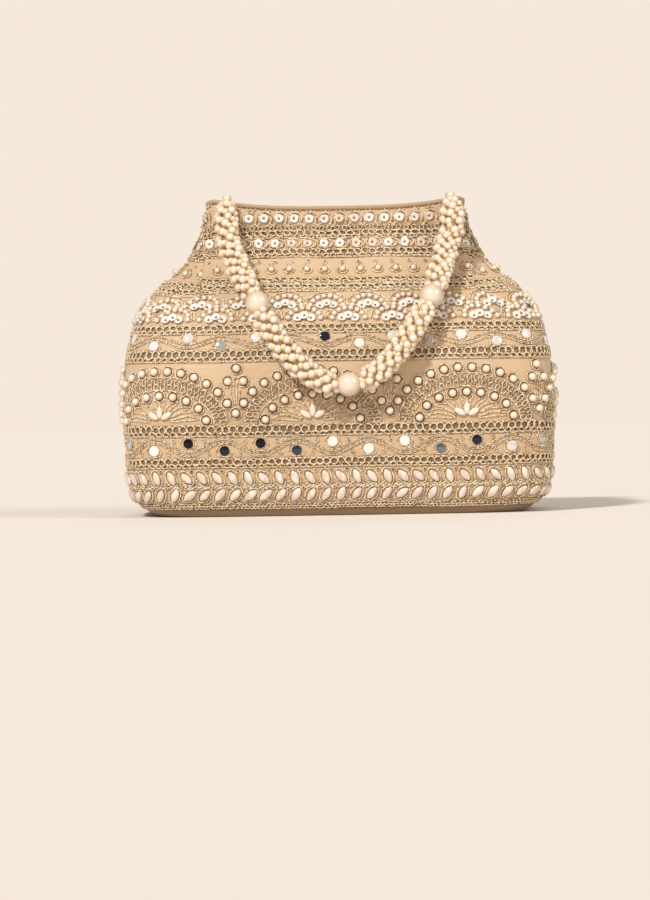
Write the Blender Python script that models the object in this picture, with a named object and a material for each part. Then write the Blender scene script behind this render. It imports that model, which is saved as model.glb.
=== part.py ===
"""Potli bag: a stiff embroidered body with a lined mouth and a rope handle of pearls.

Metres, +Z up. The origin is the middle of the base on the floor. X runs along the bag's width and
the front faces -Y. A place on the wall is given by a column u, counted round the bag from the
middle of the front, and a height v.
"""

import math

import bmesh
import bpy
import numpy as np
from mathutils import Matrix, Vector

# Overall outline: widths and depths of the fabric at named heights
BODY_HEIGHT = 0.1503
BASE_WIDTH, BASE_DEPTH = 0.183, 0.102
FOOT_WIDTH, FOOT_DEPTH = 0.195, 0.108
KNEE_WIDTH, KNEE_DEPTH = 0.206, 0.113
FLANK_WIDTH, FLANK_DEPTH = 0.2105, 0.116
HIP_WIDTH, HIP_DEPTH = 0.2135, 0.120
CHEST_WIDTH, CHEST_DEPTH = 0.205, 0.106
SHOULDER_WIDTH, SHOULDER_DEPTH = 0.1815, 0.074
THROAT_WIDTH, THROAT_DEPTH = 0.1515, 0.050
NECK_WIDTH, NECK_DEPTH = 0.1335, 0.039
MOUTH_WIDTH, MOUTH_DEPTH = 0.1245, 0.035

# Cloth and board
WALL = 0.0016
LINING = 0.0008
LINING_SLACK = 0.0012
BASE_THICK = 0.004
BASE_EDGE = 0.0012
GAP = 0.0003
LIP_RISE = 0.0042
LIP_SWEEP = 3
LIP_BAND = 0.006
FOLD_HALF_WIDTH = 0.067
FOLD_MOUTH_HALF_WIDTH = 0.0605
FOLD_DEPTH = 0.003
FOLD_STEP = 0.0015
FOLD_CLEARANCE = 0.0004
BINDING_HEIGHT = 0.0024
BINDING_OVERHANG = 0.0009

# Embroidery
CHAIN_RELIEF = 0.0011
VINE_RELIEF = 0.0006
PEARL_RELIEF = 0.0022
LEAF_RELIEF = 0.0021
SEQUIN_RELIEF = 0.0010
MIRROR_RADIUS = 0.0024
MIRROR_RELIEF = 0.0009
PEARL_BED = 0.0008
THREAD_BED = 0.0002

# Handle
ROPE_RADIUS = 0.0066
ROPE_LOBES = 5
ROPE_PITCH = 0.0034
ROPE_TWIST = math.radians(11)
ROPE_CLEARANCE = 0.0030
ROPE_NECK_RADIUS = 0.0019
ROPE_TAPER = 0.009
CAP_RADIUS = 0.0022
CAP_DROP = 0.0009
ACCENT_RADIUS = 0.0060
ACCENT_NECK_RADIUS = 0.0042
ACCENT_TAPER = 0.0065
TAB_WIDTH, TAB_THICK, TAB_DROP = 0.004, 0.0010, 0.008

# Magnetic snap
SNAP_RADIUS = 0.007
SNAP_THICK = 0.0016
SNAP_STUD_RADIUS, SNAP_STUD_HEIGHT = 0.0028, 0.0018
SNAP_DROP = 0.013

# Columns round the wall: a quarter is the front to the corner fold, then the fold to the side
FRONT_COLUMNS = 11
SIDE_COLUMNS = 7
QUARTER = FRONT_COLUMNS + SIDE_COLUMNS
COLUMNS = 4 * QUARTER
ARCH_COLUMNS = 9
ARCH_SHIFT = -1.75
FAN_COLUMNS = 3

# Outline stations: share of the height, width, depth and squareness of the section
STATIONS = (
    (0.000, BASE_WIDTH, BASE_DEPTH, 5.0),
    (0.027, FOOT_WIDTH, FOOT_DEPTH, 5.0),
    (0.073, KNEE_WIDTH, KNEE_DEPTH, 5.0),
    (0.140, FLANK_WIDTH, FLANK_DEPTH, 5.0),
    (0.400, HIP_WIDTH, HIP_DEPTH, 4.8),
    (0.600, CHEST_WIDTH, CHEST_DEPTH, 4.8),
    (0.740, SHOULDER_WIDTH, SHOULDER_DEPTH, 4.8),
    (0.830, THROAT_WIDTH, THROAT_DEPTH, 5.5),
    (0.940, NECK_WIDTH, NECK_DEPTH, 6.0),
    (1.040, MOUTH_WIDTH, MOUTH_DEPTH, 8.0),
)
FOLD_START, FOLD_FULL, FOLD_FADE, FOLD_END = 0.62, 0.76, 0.90, 0.98
LINING_LOOSE_FROM = 0.45
INNER_LEVELS = (0.0, 0.09, 0.40, 0.60, 0.70, 0.79, 0.89, 1.0)

# The rope's route as seen from the front, x and z, between its two ends at the lip
ROPE_LEFT_X, ROPE_RIGHT_X = -0.054, 0.057
ROPE_ROUTE = (
    (-0.0545, 0.1400), (-0.0505, 0.1270), (-0.0455, 0.1145), (-0.0395, 0.1045),
    (-0.0345, 0.0930), (-0.0265, 0.0810), (-0.0165, 0.0705), (-0.0070, 0.0650),
    (0.0040, 0.0640), (0.0160, 0.0680), (0.0265, 0.0780), (0.0340, 0.0880),
    (0.0400, 0.0975), (0.0455, 0.1065), (0.0500, 0.1185), (0.0540, 0.1310),
    (0.0578, 0.1425),
)
ACCENTS = {"left": (-0.0395, 0.1045), "centre": (0.0040, 0.0640), "right": (0.0455, 0.1065)}


def smooth(a, b, t):
    """0 below a, 1 above b, with an even S between them."""
    k = min(max((t - a) / (b - a), 0.0), 1.0)
    return k * k * (3 - 2 * k)


def station(height, column):
    """One value of the outline at a height, by a cubic that never overshoots its stations."""
    z = [s[0] * BODY_HEIGHT for s in STATIONS]
    f = [s[column] for s in STATIONS]
    t = min(max(height, z[0]), z[-1])
    step = [b - a for a, b in zip(z, z[1:])]
    rise = [(b - a) / h for a, b, h in zip(f, f[1:], step)]
    slope = [rise[0]]
    for r0, r1, h0, h1 in zip(rise, rise[1:], step, step[1:]):
        same = r0 * r1 > 0
        slope.append((h0 + h1) / (h1 / r0 + h0 / r1) if same else 0.0)
    slope.append(rise[-1])
    i = max(k for k in range(len(step)) if t >= z[k])
    q = (t - z[i]) / step[i]
    return (
        f[i] * (1 + 2 * q) * (1 - q) ** 2
        + slope[i] * step[i] * q * (1 - q) ** 2
        + f[i + 1] * q * q * (3 - 2 * q)
        + slope[i + 1] * step[i] * q * q * (q - 1)
    )


def fold_strength(height):
    """How deep the corner fold is at a height, from 0 at the hip and the lip to 1."""
    share = height / BODY_HEIGHT
    return smooth(FOLD_START, FOLD_FULL, share) * (1 - smooth(FOLD_FADE, FOLD_END, share))


SECTIONS = {}


def section(height):
    """A quarter of the outline at a height: arc length, x, y and the arc length of each column."""
    key = round(height, 6)
    if key in SECTIONS:
        return SECTIONS[key]
    a, b = station(height, 1) / 2, station(height, 2) / 2
    n = station(height, 3)
    turn = np.linspace(0, math.pi / 2, 361)
    x = a * np.sin(turn) ** (2 / n)
    y = -b * np.clip(np.cos(turn), 0, 1) ** (2 / n)
    x[-1], y[-1] = a, 0.0
    s = np.concatenate(([0.0], np.cumsum(np.hypot(np.diff(x), np.diff(y)))))
    share = height / BODY_HEIGHT
    corner = a * 0.5 ** (1 / n)
    at_lip = smooth(FOLD_FULL, FOLD_END, share)
    fold = FOLD_HALF_WIDTH + (FOLD_MOUTH_HALF_WIDTH - FOLD_HALF_WIDTH) * at_lip
    fold = corner + (min(fold, 0.985 * a) - corner) * smooth(FOLD_START, FOLD_FULL, share)
    s_fold = float(np.interp(fold, x, s))
    even = (s[-1] - s_fold) / SIDE_COLUMNS
    first = even + (min(FOLD_STEP, even) - even) * fold_strength(height)
    rest = np.linspace(s_fold + first, s[-1], SIDE_COLUMNS)
    columns = np.concatenate((np.linspace(0, s_fold, FRONT_COLUMNS + 1), rest))
    SECTIONS[key] = (s, x, y, columns)
    return SECTIONS[key]


def quarter_of(u):
    """A column's place in the front right quarter, and the signs that carry it back."""
    u = u % COLUMNS
    if u > COLUMNS / 2:
        q, sy = quarter_of(COLUMNS - u)[:2]
        return q, sy, -1
    if u > QUARTER:
        return 2 * QUARTER - u, -1, 1
    return u, 1, 1


def lip_rise(u):
    """How far the top edge stands above its lowest point: it sags between the corners."""
    q, _, _ = quarter_of(u)
    if q <= FRONT_COLUMNS:
        return LIP_RISE * (q / FRONT_COLUMNS) ** LIP_SWEEP
    return LIP_RISE * (1 - 0.5 * (q - FRONT_COLUMNS) / SIDE_COLUMNS)


def fabric(u, v):
    """A point of the fabric at column u and height v, folds left out."""
    q, sy, sx = quarter_of(u)
    s, x, y, columns = section(v)
    at = float(np.interp(q, np.arange(QUARTER + 1), columns))
    z = v + lip_rise(u) * smooth(BODY_HEIGHT - LIP_BAND, BODY_HEIGHT, v)
    return Vector((sx * float(np.interp(at, s, x)), sy * float(np.interp(at, s, y)), z))


def outward(u, v):
    """The fabric's outward direction."""
    du, dv = 0.15, 0.0008
    along = fabric(u + du, v) - fabric(u - du, v)
    up = fabric(u, min(v + dv, BODY_HEIGHT)) - fabric(u, v - dv)
    return along.cross(up).normalized()


def fold_offset(u, v):
    """How far the corner fold draws the side panel in, behind the edge of the front panel."""
    q, _, _ = quarter_of(u)
    shape = (0.0, 0.25, -1.0, -0.85, -0.55, -0.25, 0.0)
    share = float(np.interp(q - FRONT_COLUMNS, range(-1, len(shape) - 1), shape))
    return share * FOLD_DEPTH * fold_strength(v)


def wall_point(u, v, out=0.0):
    """A point of the wall's outer face, raised by a relief and drawn in by the corner fold."""
    return fabric(u, v) + outward(u, v) * (out + fold_offset(u, v))


def inside_point(u, v, inset):
    """A point level with height v whose distance behind the fabric is the inset."""
    side = outward(u, v)
    level = Vector((side.x, side.y, 0.0))
    return fabric(u, v) - level.normalized() * inset / max(level.length, 0.4)


# Meshes
def stitch(bm, low, high, whole, split=False):
    """Faces between two closed rings of (place, vertex), which may differ in count."""
    faces = []
    nl, nh = len(low), len(high)
    i = j = 0
    while i < nl or j < nh:
        a, b = low[i % nl], high[j % nh]
        a2, b2 = low[(i + 1) % nl], high[(j + 1) % nh]
        ua, ub = a[0] + whole * (i // nl), b[0] + whole * (j // nh)
        ua2 = a2[0] + whole * ((i + 1) // nl)
        ub2 = b2[0] + whole * ((j + 1) // nh)
        level = abs(ua - ub) < 1e-9 and abs(ua2 - ub2) < 1e-9
        if i < nl and j < nh and level:
            corners = (a[1], a2[1], b2[1], b[1])
            faces += halves(bm, corners) if split else [bm.faces.new(corners)]
            i, j = i + 1, j + 1
        elif j >= nh or (i < nl and ua2 <= ub2):
            faces.append(bm.faces.new((a[1], a2[1], b[1])))
            i += 1
        else:
            faces.append(bm.faces.new((a[1], b2[1], b[1])))
            j += 1
    return faces


def halves(bm, corners):
    """A twisted four-sided patch as two triangles, along its shorter diagonal."""
    a, b, c, d = corners
    if (a.co - c.co).length < (b.co - d.co).length:
        return [bm.faces.new((a, b, c)), bm.faces.new((a, c, d))]
    return [bm.faces.new((a, b, d)), bm.faces.new((b, c, d))]


def ring(bm, places, point):
    """A closed ring of vertices, one at each place."""
    return [(u, bm.verts.new(point(u))) for u in places]


def sweep(bm, rings, whole, closed, split_from=None):
    """Joins rings in order into one surface, closed on itself or capped at both ends."""
    split = len(rings) if split_from is None else split_from
    strips = [
        stitch(bm, a, b, whole, k >= split) for k, (a, b) in enumerate(zip(rings, rings[1:]))
    ]
    if closed:
        strips.append(stitch(bm, rings[-1], rings[0], whole))
    else:
        bm.faces.new([v for _, v in reversed(rings[0])])
        bm.faces.new([v for _, v in rings[-1]])
    return strips


def stud(bm, face, radius, height, sides, dome):
    """Raises a round stud out of a face: flat like a mirror, or with a dome like a pearl."""
    middle, normal = face.calc_center_median(), face.normal.copy()
    across = face.calc_tangent_edge()
    other = normal.cross(across)
    corners = []
    for v in face.verts:
        d = v.co - middle
        corners.append((math.atan2(d.dot(other), d.dot(across)), v))
    start = min(range(len(corners)), key=lambda k: corners[k][0])
    corners = corners[start:] + corners[:start]
    bm.faces.remove(face)
    top = []
    for k in range(sides):
        t = -math.pi + 2 * math.pi * (k + 0.5) / sides
        spot = middle + (across * math.cos(t) + other * math.sin(t)) * radius
        top.append((t, bm.verts.new(spot + normal * height)))
    stitch(bm, corners, top, 2 * math.pi)
    lid = bm.faces.new([v for _, v in top])
    if dome:
        poke(bm, lid, dome)


def poke(bm, face, height):
    """Lifts the middle of a face into a low point."""
    face.normal_update()
    normal = face.normal.copy()
    made = bmesh.ops.poke(bm, faces=[face])
    for v in made["verts"]:
        v.co += normal * height


def material(name, colour, roughness, metallic=0.0):
    made = bpy.data.materials.new(name)
    made.use_nodes = True
    shader = made.node_tree.nodes["Principled BSDF"]
    shader.inputs["Base Color"].default_value = (*colour, 1.0)
    shader.inputs["Roughness"].default_value = roughness
    shader.inputs["Metallic"].default_value = metallic
    return made


def finish(bm, name, look, soft_angle=50):
    mesh = bpy.data.meshes.new(name)
    bm.to_mesh(mesh)
    bm.free()
    mesh.shade_smooth()
    mesh.set_sharp_from_angle(angle=math.radians(soft_angle))
    made = bpy.data.objects.new(name, mesh)
    made.data.materials.append(look)
    bpy.context.scene.collection.objects.link(made)
    return made


# Outer wall
WALL_FOOT = BASE_THICK + GAP


def band(lower, share):
    """A height on the wall, from the middle heights of its embroidered bands."""
    return WALL_FOOT + (BODY_HEIGHT - WALL_FOOT) * (lower + share) / 147.0


def arch(u, columns, shift=0.0):
    """0 at the legs and 1 at the crown of a row of arches."""
    q = ((u - shift) / columns + 0.5) % 1.0
    return math.sqrt(max(1 - (2 * q - 1) ** 2, 0.0))


def wave(u):
    """A vine that swings once in four columns, level over each mirror."""
    return 1.0 if u % 4 < 1.5 else -1.0


def outer_rings():
    """The wall's embroidered rows: place of each column, height and relief, from foot to lip."""
    whole = [float(k) for k in range(COLUMNS)]
    half = [k / 2 for k in range(2 * COLUMNS)]
    back = [k - 0.25 for k in whole]
    ahead = [k + 0.25 for k in whole]
    peak = CHAIN_RELIEF

    def beads(relief, bed=PEARL_BED):
        return lambda u: relief if abs(u - round(u)) < 0.1 else bed

    def every_other(relief):
        return lambda u: relief if round(u) % 2 == 0 else THREAD_BED

    def level(share, relief, places=whole):
        high = relief if callable(relief) else (lambda u: relief)
        return (places, lambda u: band(0, share), high)

    def vine(share, swing):
        return (whole, lambda u: band(share, swing * wave(u)), lambda u: VINE_RELIEF)

    def arc(foot, rise, shift, columns, relief, places):
        high = relief if callable(relief) else (lambda u: relief)
        return (places, lambda u: band(foot, rise * arch(u, columns, shift)), high)

    inner = (half, lambda u: band(42.4, 13.5 * arch(u, ARCH_COLUMNS, ARCH_SHIFT)), beads(0.8 * PEARL_RELIEF))
    rows = [
        level(0, 0.0),
        level(1.2, peak),
        level(2.8, THREAD_BED, back),
        level(6.6, beads(LEAF_RELIEF), half),
        level(10.4, 0.7 * peak, ahead),
        level(14.8, beads(LEAF_RELIEF), half),
        level(19.2, 0.0, back),
        level(22.4, peak),
        level(25.2, 0.0),
        vine(30.2, 1.9),
        level(35.2, 0.0),
        level(38.0, peak),
        level(40.8, 0.0),
        inner,
        arc(44.6, 17.6, ARCH_SHIFT, ARCH_COLUMNS, 1.2 * peak, whole),
        arc(47.2, 20.4, ARCH_SHIFT, ARCH_COLUMNS, beads(PEARL_RELIEF), half),
        level(71.8, 0.0),
        level(74.8, peak),
        level(77.8, 0.0),
        vine(81.8, 1.6),
        level(85.8, 0.0),
        level(87.8, peak),
        level(89.8, 0.0),
        arc(91.4, 5.6, 0.0, FAN_COLUMNS, beads(0.8 * PEARL_RELIEF, SEQUIN_RELIEF), half),
        arc(97.6, 5.6, FAN_COLUMNS / 2, FAN_COLUMNS, beads(0.8 * PEARL_RELIEF, SEQUIN_RELIEF), half),
        level(107.0, peak),
        level(110.6, peak),
        level(112.8, 0.0),
        level(116.8, every_other(0.9 * PEARL_RELIEF)),
        level(122.4, 0.0),
        level(125.0, peak),
        level(127.4, 0.0),
        level(130.2, every_other(SEQUIN_RELIEF)),
        level(133.0, 0.0),
        level(135.2, peak),
        level(137.4, 0.0),
        level(142.4, every_other(SEQUIN_RELIEF)),
        level(147.0, 0.0),
    ]
    return rows


def build_outer_shell(look):
    bm = bmesh.new()
    rings = [
        ring(bm, places, lambda u, z=height, h=relief: wall_point(u, z(u), h(u)))
        for places, height, relief in outer_rings()
    ]
    outer_count = len(rings)
    even = [float(k) for k in range(0, COLUMNS, 2)]
    for share in reversed(INNER_LEVELS):
        v = WALL_FOOT + (BODY_HEIGHT - WALL_FOOT) * share
        inset = WALL + (FOLD_DEPTH + FOLD_CLEARANCE) * fold_strength(v)
        rings.append(ring(bm, even, lambda u, v=v, inset=inset: inside_point(u, v, inset)))
    strips = sweep(bm, rings, COLUMNS, True, outer_count)
    bm.normal_update()
    vines = [k for k, row in enumerate(outer_rings()) if row[2](0.0) == VINE_RELIEF]
    for k in vines:
        for below, first in ((k - 1, 0), (k, 2)):
            for cell in range(first, COLUMNS, 4):
                stud(bm, strips[below][cell], MIRROR_RADIUS, MIRROR_RELIEF, 4, 0.0)
    return finish(bm, "outer_shell", look, 62)


def build_base_panel(look):
    bm = bmesh.new()
    places = [float(k) for k in range(COLUMNS)]
    levels = ((0.0, -BASE_EDGE), (BASE_EDGE, 0.0), (BASE_THICK, 0.0))
    rings = []
    for v, out in levels:
        rings.append(ring(bm, places, lambda u, v=v, out=out: flat_point(u, v, out)))
    sweep(bm, rings, COLUMNS, False)
    return finish(bm, "base_panel", look)


def flat_point(u, v, out):
    """A point of the outline at height v, moved outwards level with the floor."""
    side = outward(u, v)
    level = Vector((side.x, side.y, 0.0)).normalized()
    spot = fabric(u, v)
    return Vector((spot.x, spot.y, v)) + level * out


def lining_inset(v):
    """How far the lining's outer face hangs inside the fabric's outer face."""
    share = v / BODY_HEIGHT
    loose = smooth(LINING_LOOSE_FROM, FOLD_START, share) * (1 - smooth(FOLD_FADE, 1.0, share))
    return WALL + 2 * GAP + FOLD_DEPTH * fold_strength(v) + LINING_SLACK * loose


def build_lining(look):
    bm = bmesh.new()
    places = [float(k) for k in range(0, COLUMNS, 2)]
    floor = BASE_THICK + GAP
    heights = [floor + (BODY_HEIGHT - floor) * s for s in INNER_LEVELS]
    rings = []
    for v in heights:
        inset = lining_inset(v)
        rings.append(ring(bm, places, lambda u, v=v, i=inset: inside_point(u, v, i)))
    for v in reversed(heights):
        inset = lining_inset(v) + LINING
        low = max(v, floor + LINING)
        rings.append(ring(bm, places, lambda u, v=low, i=inset: inside_point(u, v, i)))
    sweep(bm, rings, COLUMNS, False, 0)
    return finish(bm, "lining", look)


def build_mouth_binding(look):
    bm = bmesh.new()
    places = [float(k) for k in range(COLUMNS)]
    inner = -(lining_inset(BODY_HEIGHT) + LINING + BINDING_OVERHANG)
    h = BINDING_HEIGHT
    profile = (
        (BINDING_OVERHANG, 0.0), (BINDING_OVERHANG, 0.55 * h), (0.25 * inner, h),
        (0.80 * inner, 0.9 * h), (inner, 0.0),
    )
    rings = []
    for out, up in profile:
        rings.append(ring(bm, places, lambda u, o=out, z=up: lip_point(u, o, z)))
    sweep(bm, rings, COLUMNS, True)
    return finish(bm, "mouth_binding", look)


def lip_point(u, out, up):
    """A point beside the top edge: out from the fabric, and up from the wall's end."""
    side = outward(u, BODY_HEIGHT)
    level = Vector((side.x, side.y, 0.0)).normalized()
    return fabric(u, BODY_HEIGHT) + level * out + Vector((0, 0, GAP + up))


# Handle
def front_y(x, z):
    """The front fabric's y at a place seen from the front."""
    a, b, n = station(z, 1) / 2, station(z, 2) / 2, station(z, 3)
    return -b * max(1 - (abs(x) / a) ** n, 0.0) ** (1 / n)


def rope_y(x, z, clearance):
    """The y at which a point at x, z stands clear of the front fabric by a distance."""
    best = front_y(x, z) - clearance
    reach = np.linspace(-clearance, clearance, 13)
    for dz in reach:
        for dx in reach:
            left = clearance**2 - dz**2 - dx**2
            if left > 0 and z + dz < BODY_HEIGHT:
                best = min(best, front_y(x + dx, z + dz) - math.sqrt(left))
    return best


def rope_pivot(x):
    """A rope end's place on the handle's swing axis, in front of the lip and level with the tabs."""
    near, far = sorted((abs(ROPE_LEFT_X), abs(ROPE_RIGHT_X)))
    edge = front_y(near, BODY_HEIGHT) - BINDING_OVERHANG
    reach = min((far + TAB_WIDTH / 2) / FOLD_MOUTH_HALF_WIDTH, 1.0)
    top = BODY_HEIGHT + LIP_RISE * reach**LIP_SWEEP + GAP + BINDING_HEIGHT + 2 * GAP
    return Vector((x, edge - CAP_RADIUS - 2 * GAP, top + TAB_THICK / 2 - CAP_DROP))


def rope_path():
    """The rope's centreline, as even points with the arc length of each."""
    clear = PEARL_RELIEF + ROPE_RADIUS + ROPE_CLEARANCE
    knots = [rope_pivot(ROPE_LEFT_X)]
    knots += [Vector((x, rope_y(x, z, clear), z)) for x, z in ROPE_ROUTE]
    knots.append(rope_pivot(ROPE_RIGHT_X))
    points = []
    for k in range(len(knots) - 1):
        a = knots[max(k - 1, 0)]
        b, c = knots[k], knots[k + 1]
        d = knots[min(k + 2, len(knots) - 1)]
        for t in np.arange(0, 1, 0.1):
            points.append(
                0.5 * (2 * b + (c - a) * t + (2 * a - 5 * b + 4 * c - d) * t**2
                       + (3 * b - a - 3 * c + d) * t**3)
            )
    points.append(knots[-1])
    path = np.array([tuple(p) for p in points])
    for _ in range(12):
        path[1:-1] = 0.5 * path[1:-1] + 0.25 * (path[:-2] + path[2:])
    s = np.concatenate(([0.0], np.cumsum(np.linalg.norm(np.diff(path, axis=0), axis=1))))
    return s, path


def at_length(s, path, t):
    return Vector([float(np.interp(t, s, path[:, k])) for k in range(3)])


def nearest_length(s, path, x, z):
    return float(s[np.argmin(np.hypot(path[:, 0] - x, path[:, 2] - z))])


# How far from the middle of an accent pearl the rope's narrowed end lies on it
ACCENT_SEAT = math.sqrt((ACCENT_RADIUS + 2 * GAP) ** 2 - ACCENT_NECK_RADIUS**2)


def build_rope(name, start, end, tapers, s, path, look):
    """One length of rope: a twisted tube with a bump for each pearl of its strands."""
    bm = bmesh.new()
    count = max(round((end - start) / ROPE_PITCH), 2)
    sides = 2 * ROPE_LOBES
    rings = []
    for j in range(count + 1):
        t = start + (end - start) * j / count
        centre = at_length(s, path, t)
        ahead = (at_length(s, path, t + 0.001) - at_length(s, path, t - 0.001)).normalized()
        side = ahead.cross(Vector((0, 1, 0))).normalized()
        other = ahead.cross(side)
        radius = ROPE_RADIUS
        for gathered, distance in ((tapers[0], t - start), (tapers[1], end - t)):
            neck, taper = (ROPE_NECK_RADIUS, ROPE_TAPER) if gathered else (ACCENT_NECK_RADIUS, ACCENT_TAPER)
            radius = min(radius, neck + (ROPE_RADIUS - neck) * smooth(0.0, taper, distance))
        turn = t / ROPE_PITCH * ROPE_TWIST
        whole_ring = (j == 0 and not tapers[0]) or (j == count and not tapers[1])
        loop = []
        for k in range(sides):
            angle = turn + math.tau * k / sides
            bump = 1.0 if whole_ring or (k + j) % 2 else 0.80
            spot = centre + (side * math.cos(angle) + other * math.sin(angle)) * radius * bump
            loop.append((float(k), bm.verts.new(spot)))
        rings.append(loop)
    sweep(bm, rings, sides, False)
    bmesh.ops.recalc_face_normals(bm, faces=bm.faces)
    bm.faces.ensure_lookup_table()
    lids = [f for f in bm.faces if len(f.verts) == sides]
    for lid, tapered in ((lids[0], tapers[0]), (lids[-1], tapers[1])):
        if not tapered:
            poke(bm, lid, -ACCENT_NECK_RADIUS**2 / ACCENT_SEAT - GAP)
    return finish(bm, name, look)


def build_ball(name, centre, radius, look, segments=12, rings=6):
    bm = bmesh.new()
    bmesh.ops.create_uvsphere(bm, u_segments=segments, v_segments=rings, radius=radius)
    bmesh.ops.translate(bm, vec=centre, verts=bm.verts)
    return finish(bm, name, look)


def build_tab(name, x, look):
    """A satin tab: sewn inside the mouth, over the lip and up to the end of the rope."""
    pivot = rope_pivot(x)
    top = pivot.z + CAP_DROP + TAB_THICK / 2
    low = top - TAB_THICK
    edge = front_y(abs(x) + TAB_WIDTH / 2, BODY_HEIGHT)
    inner = edge + lining_inset(BODY_HEIGHT) + LINING + BINDING_OVERHANG + 3 * GAP
    front = pivot.y + CAP_RADIUS + GAP
    foot = top - TAB_DROP
    outline = (
        (front, low), (inner, low), (inner, foot), (inner + TAB_THICK, foot),
        (inner + TAB_THICK, top - 0.3 * TAB_THICK), (inner + 0.7 * TAB_THICK, top), (front, top),
    )
    bm = bmesh.new()
    face = bm.faces.new([bm.verts.new((x - TAB_WIDTH / 2, y, z)) for y, z in outline])
    grown_part = bmesh.ops.extrude_face_region(bm, geom=[face])
    moved = [g for g in grown_part["geom"] if isinstance(g, bmesh.types.BMVert)]
    bmesh.ops.translate(bm, vec=(TAB_WIDTH, 0, 0), verts=moved)
    bmesh.ops.recalc_face_normals(bm, faces=bm.faces)
    return finish(bm, name, look)


# Snap
def build_snap(name, front, look):
    """One half of a magnetic snap, flat on the lining inside the middle of the mouth."""
    v = BODY_HEIGHT - SNAP_DROP
    u = 0.0 if front else COLUMNS / 2
    inset = lining_inset(v) + LINING + 3 * GAP
    out = outward(u, v)
    spot = fabric(u, v) - out * inset
    stud_height = SNAP_STUD_HEIGHT if front else -0.4 * SNAP_THICK
    profile = (
        (0.0, 0.0), (SNAP_RADIUS, 0.0), (SNAP_RADIUS, 0.7 * SNAP_THICK),
        (SNAP_RADIUS - 0.3 * SNAP_THICK, SNAP_THICK),
        (SNAP_STUD_RADIUS, SNAP_THICK), (SNAP_STUD_RADIUS, SNAP_THICK + stud_height),
        (0.0, SNAP_THICK + stud_height),
    )
    bm = bmesh.new()
    verts = [bm.verts.new((r, 0, h)) for r, h in profile]
    edges = [bm.edges.new(pair) for pair in zip(verts, verts[1:])]
    bmesh.ops.spin(bm, geom=verts + edges, cent=(0, 0, 0), axis=(0, 0, 1), angle=math.tau,
                   steps=12, use_merge=True)
    bmesh.ops.remove_doubles(bm, verts=bm.verts, dist=1e-6)
    bmesh.ops.recalc_face_normals(bm, faces=bm.faces)
    turn = (-out).to_track_quat("Z", "Y").to_matrix().to_4x4()
    bm.transform(Matrix.Translation(spot) @ turn)
    return finish(bm, name, look, 40)


def build_handle(pearl, accent, thread, satin):
    s, path = rope_path()
    marks = [nearest_length(s, path, *ACCENTS[k]) for k in ("left", "centre", "right")]
    grip = CAP_RADIUS + GAP
    starts = [grip] + [m + ACCENT_SEAT for m in marks]
    ends = [m - ACCENT_SEAT for m in marks] + [float(s[-1]) - grip]
    names = ("rope_left_upper", "rope_left_lower", "rope_right_lower", "rope_right_upper")
    for k, name in enumerate(names):
        build_rope(name, starts[k], ends[k], (k == 0, k == len(names) - 1), s, path, pearl)
    for (side, _), m in zip(ACCENTS.items(), marks):
        build_ball("accent_pearl_" + side, at_length(s, path, m), ACCENT_RADIUS, accent)
    for side, x in (("left", ROPE_LEFT_X), ("right", ROPE_RIGHT_X)):
        build_ball("rope_cap_" + side, rope_pivot(x), CAP_RADIUS, thread, 8, 5)
        build_tab("handle_tab_" + side, x, satin)


def main():
    for old in list(bpy.data.objects):
        bpy.data.objects.remove(old, do_unlink=True)
    silk = material("embroidered_silk", (0.71, 0.54, 0.34), 0.62)
    cotton = material("lining_cloth", (0.72, 0.58, 0.41), 0.75)
    satin = material("tan_satin", (0.48, 0.31, 0.16), 0.45)
    pearl = material("rope_pearl", (0.90, 0.79, 0.66), 0.28)
    accent = material("accent_pearl", (0.93, 0.82, 0.66), 0.20)
    thread = material("gold_thread", (0.60, 0.42, 0.20), 0.50)
    metal = material("snap_metal", (0.80, 0.68, 0.42), 0.25, 1.0)
    build_outer_shell(silk)
    build_base_panel(satin)
    build_lining(cotton)
    build_mouth_binding(satin)
    build_snap("snap_stud", True, metal)
    build_snap("snap_socket", False, metal)
    build_handle(pearl, accent, thread, satin)


main()
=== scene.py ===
import math

import bmesh
import bpy
import numpy as np
from mathutils import Matrix, Vector


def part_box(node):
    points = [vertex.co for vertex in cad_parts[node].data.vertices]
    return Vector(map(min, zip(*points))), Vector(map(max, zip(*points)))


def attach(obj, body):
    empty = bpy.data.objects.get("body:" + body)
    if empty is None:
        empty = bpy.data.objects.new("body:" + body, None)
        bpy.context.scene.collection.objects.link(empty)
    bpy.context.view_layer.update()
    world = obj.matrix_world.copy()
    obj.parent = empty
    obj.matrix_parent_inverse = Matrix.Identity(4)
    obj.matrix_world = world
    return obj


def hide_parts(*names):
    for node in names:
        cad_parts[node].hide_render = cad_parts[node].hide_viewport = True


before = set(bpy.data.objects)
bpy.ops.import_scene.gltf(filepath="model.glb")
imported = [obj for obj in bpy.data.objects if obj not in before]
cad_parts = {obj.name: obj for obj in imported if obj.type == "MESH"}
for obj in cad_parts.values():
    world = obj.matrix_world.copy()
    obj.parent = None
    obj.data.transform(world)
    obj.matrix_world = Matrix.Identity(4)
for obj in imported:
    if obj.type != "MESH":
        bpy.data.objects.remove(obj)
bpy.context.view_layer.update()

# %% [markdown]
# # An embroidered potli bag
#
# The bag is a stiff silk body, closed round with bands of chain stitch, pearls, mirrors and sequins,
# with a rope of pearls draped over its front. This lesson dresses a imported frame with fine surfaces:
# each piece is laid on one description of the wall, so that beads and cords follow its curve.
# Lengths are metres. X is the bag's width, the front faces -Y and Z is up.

MM = 0.001


def in_scene(name, data):
    """Puts a mesh, a light or a camera in the scene."""
    made = bpy.data.objects.new(name, data)
    bpy.context.scene.collection.objects.link(made)
    return made


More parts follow.
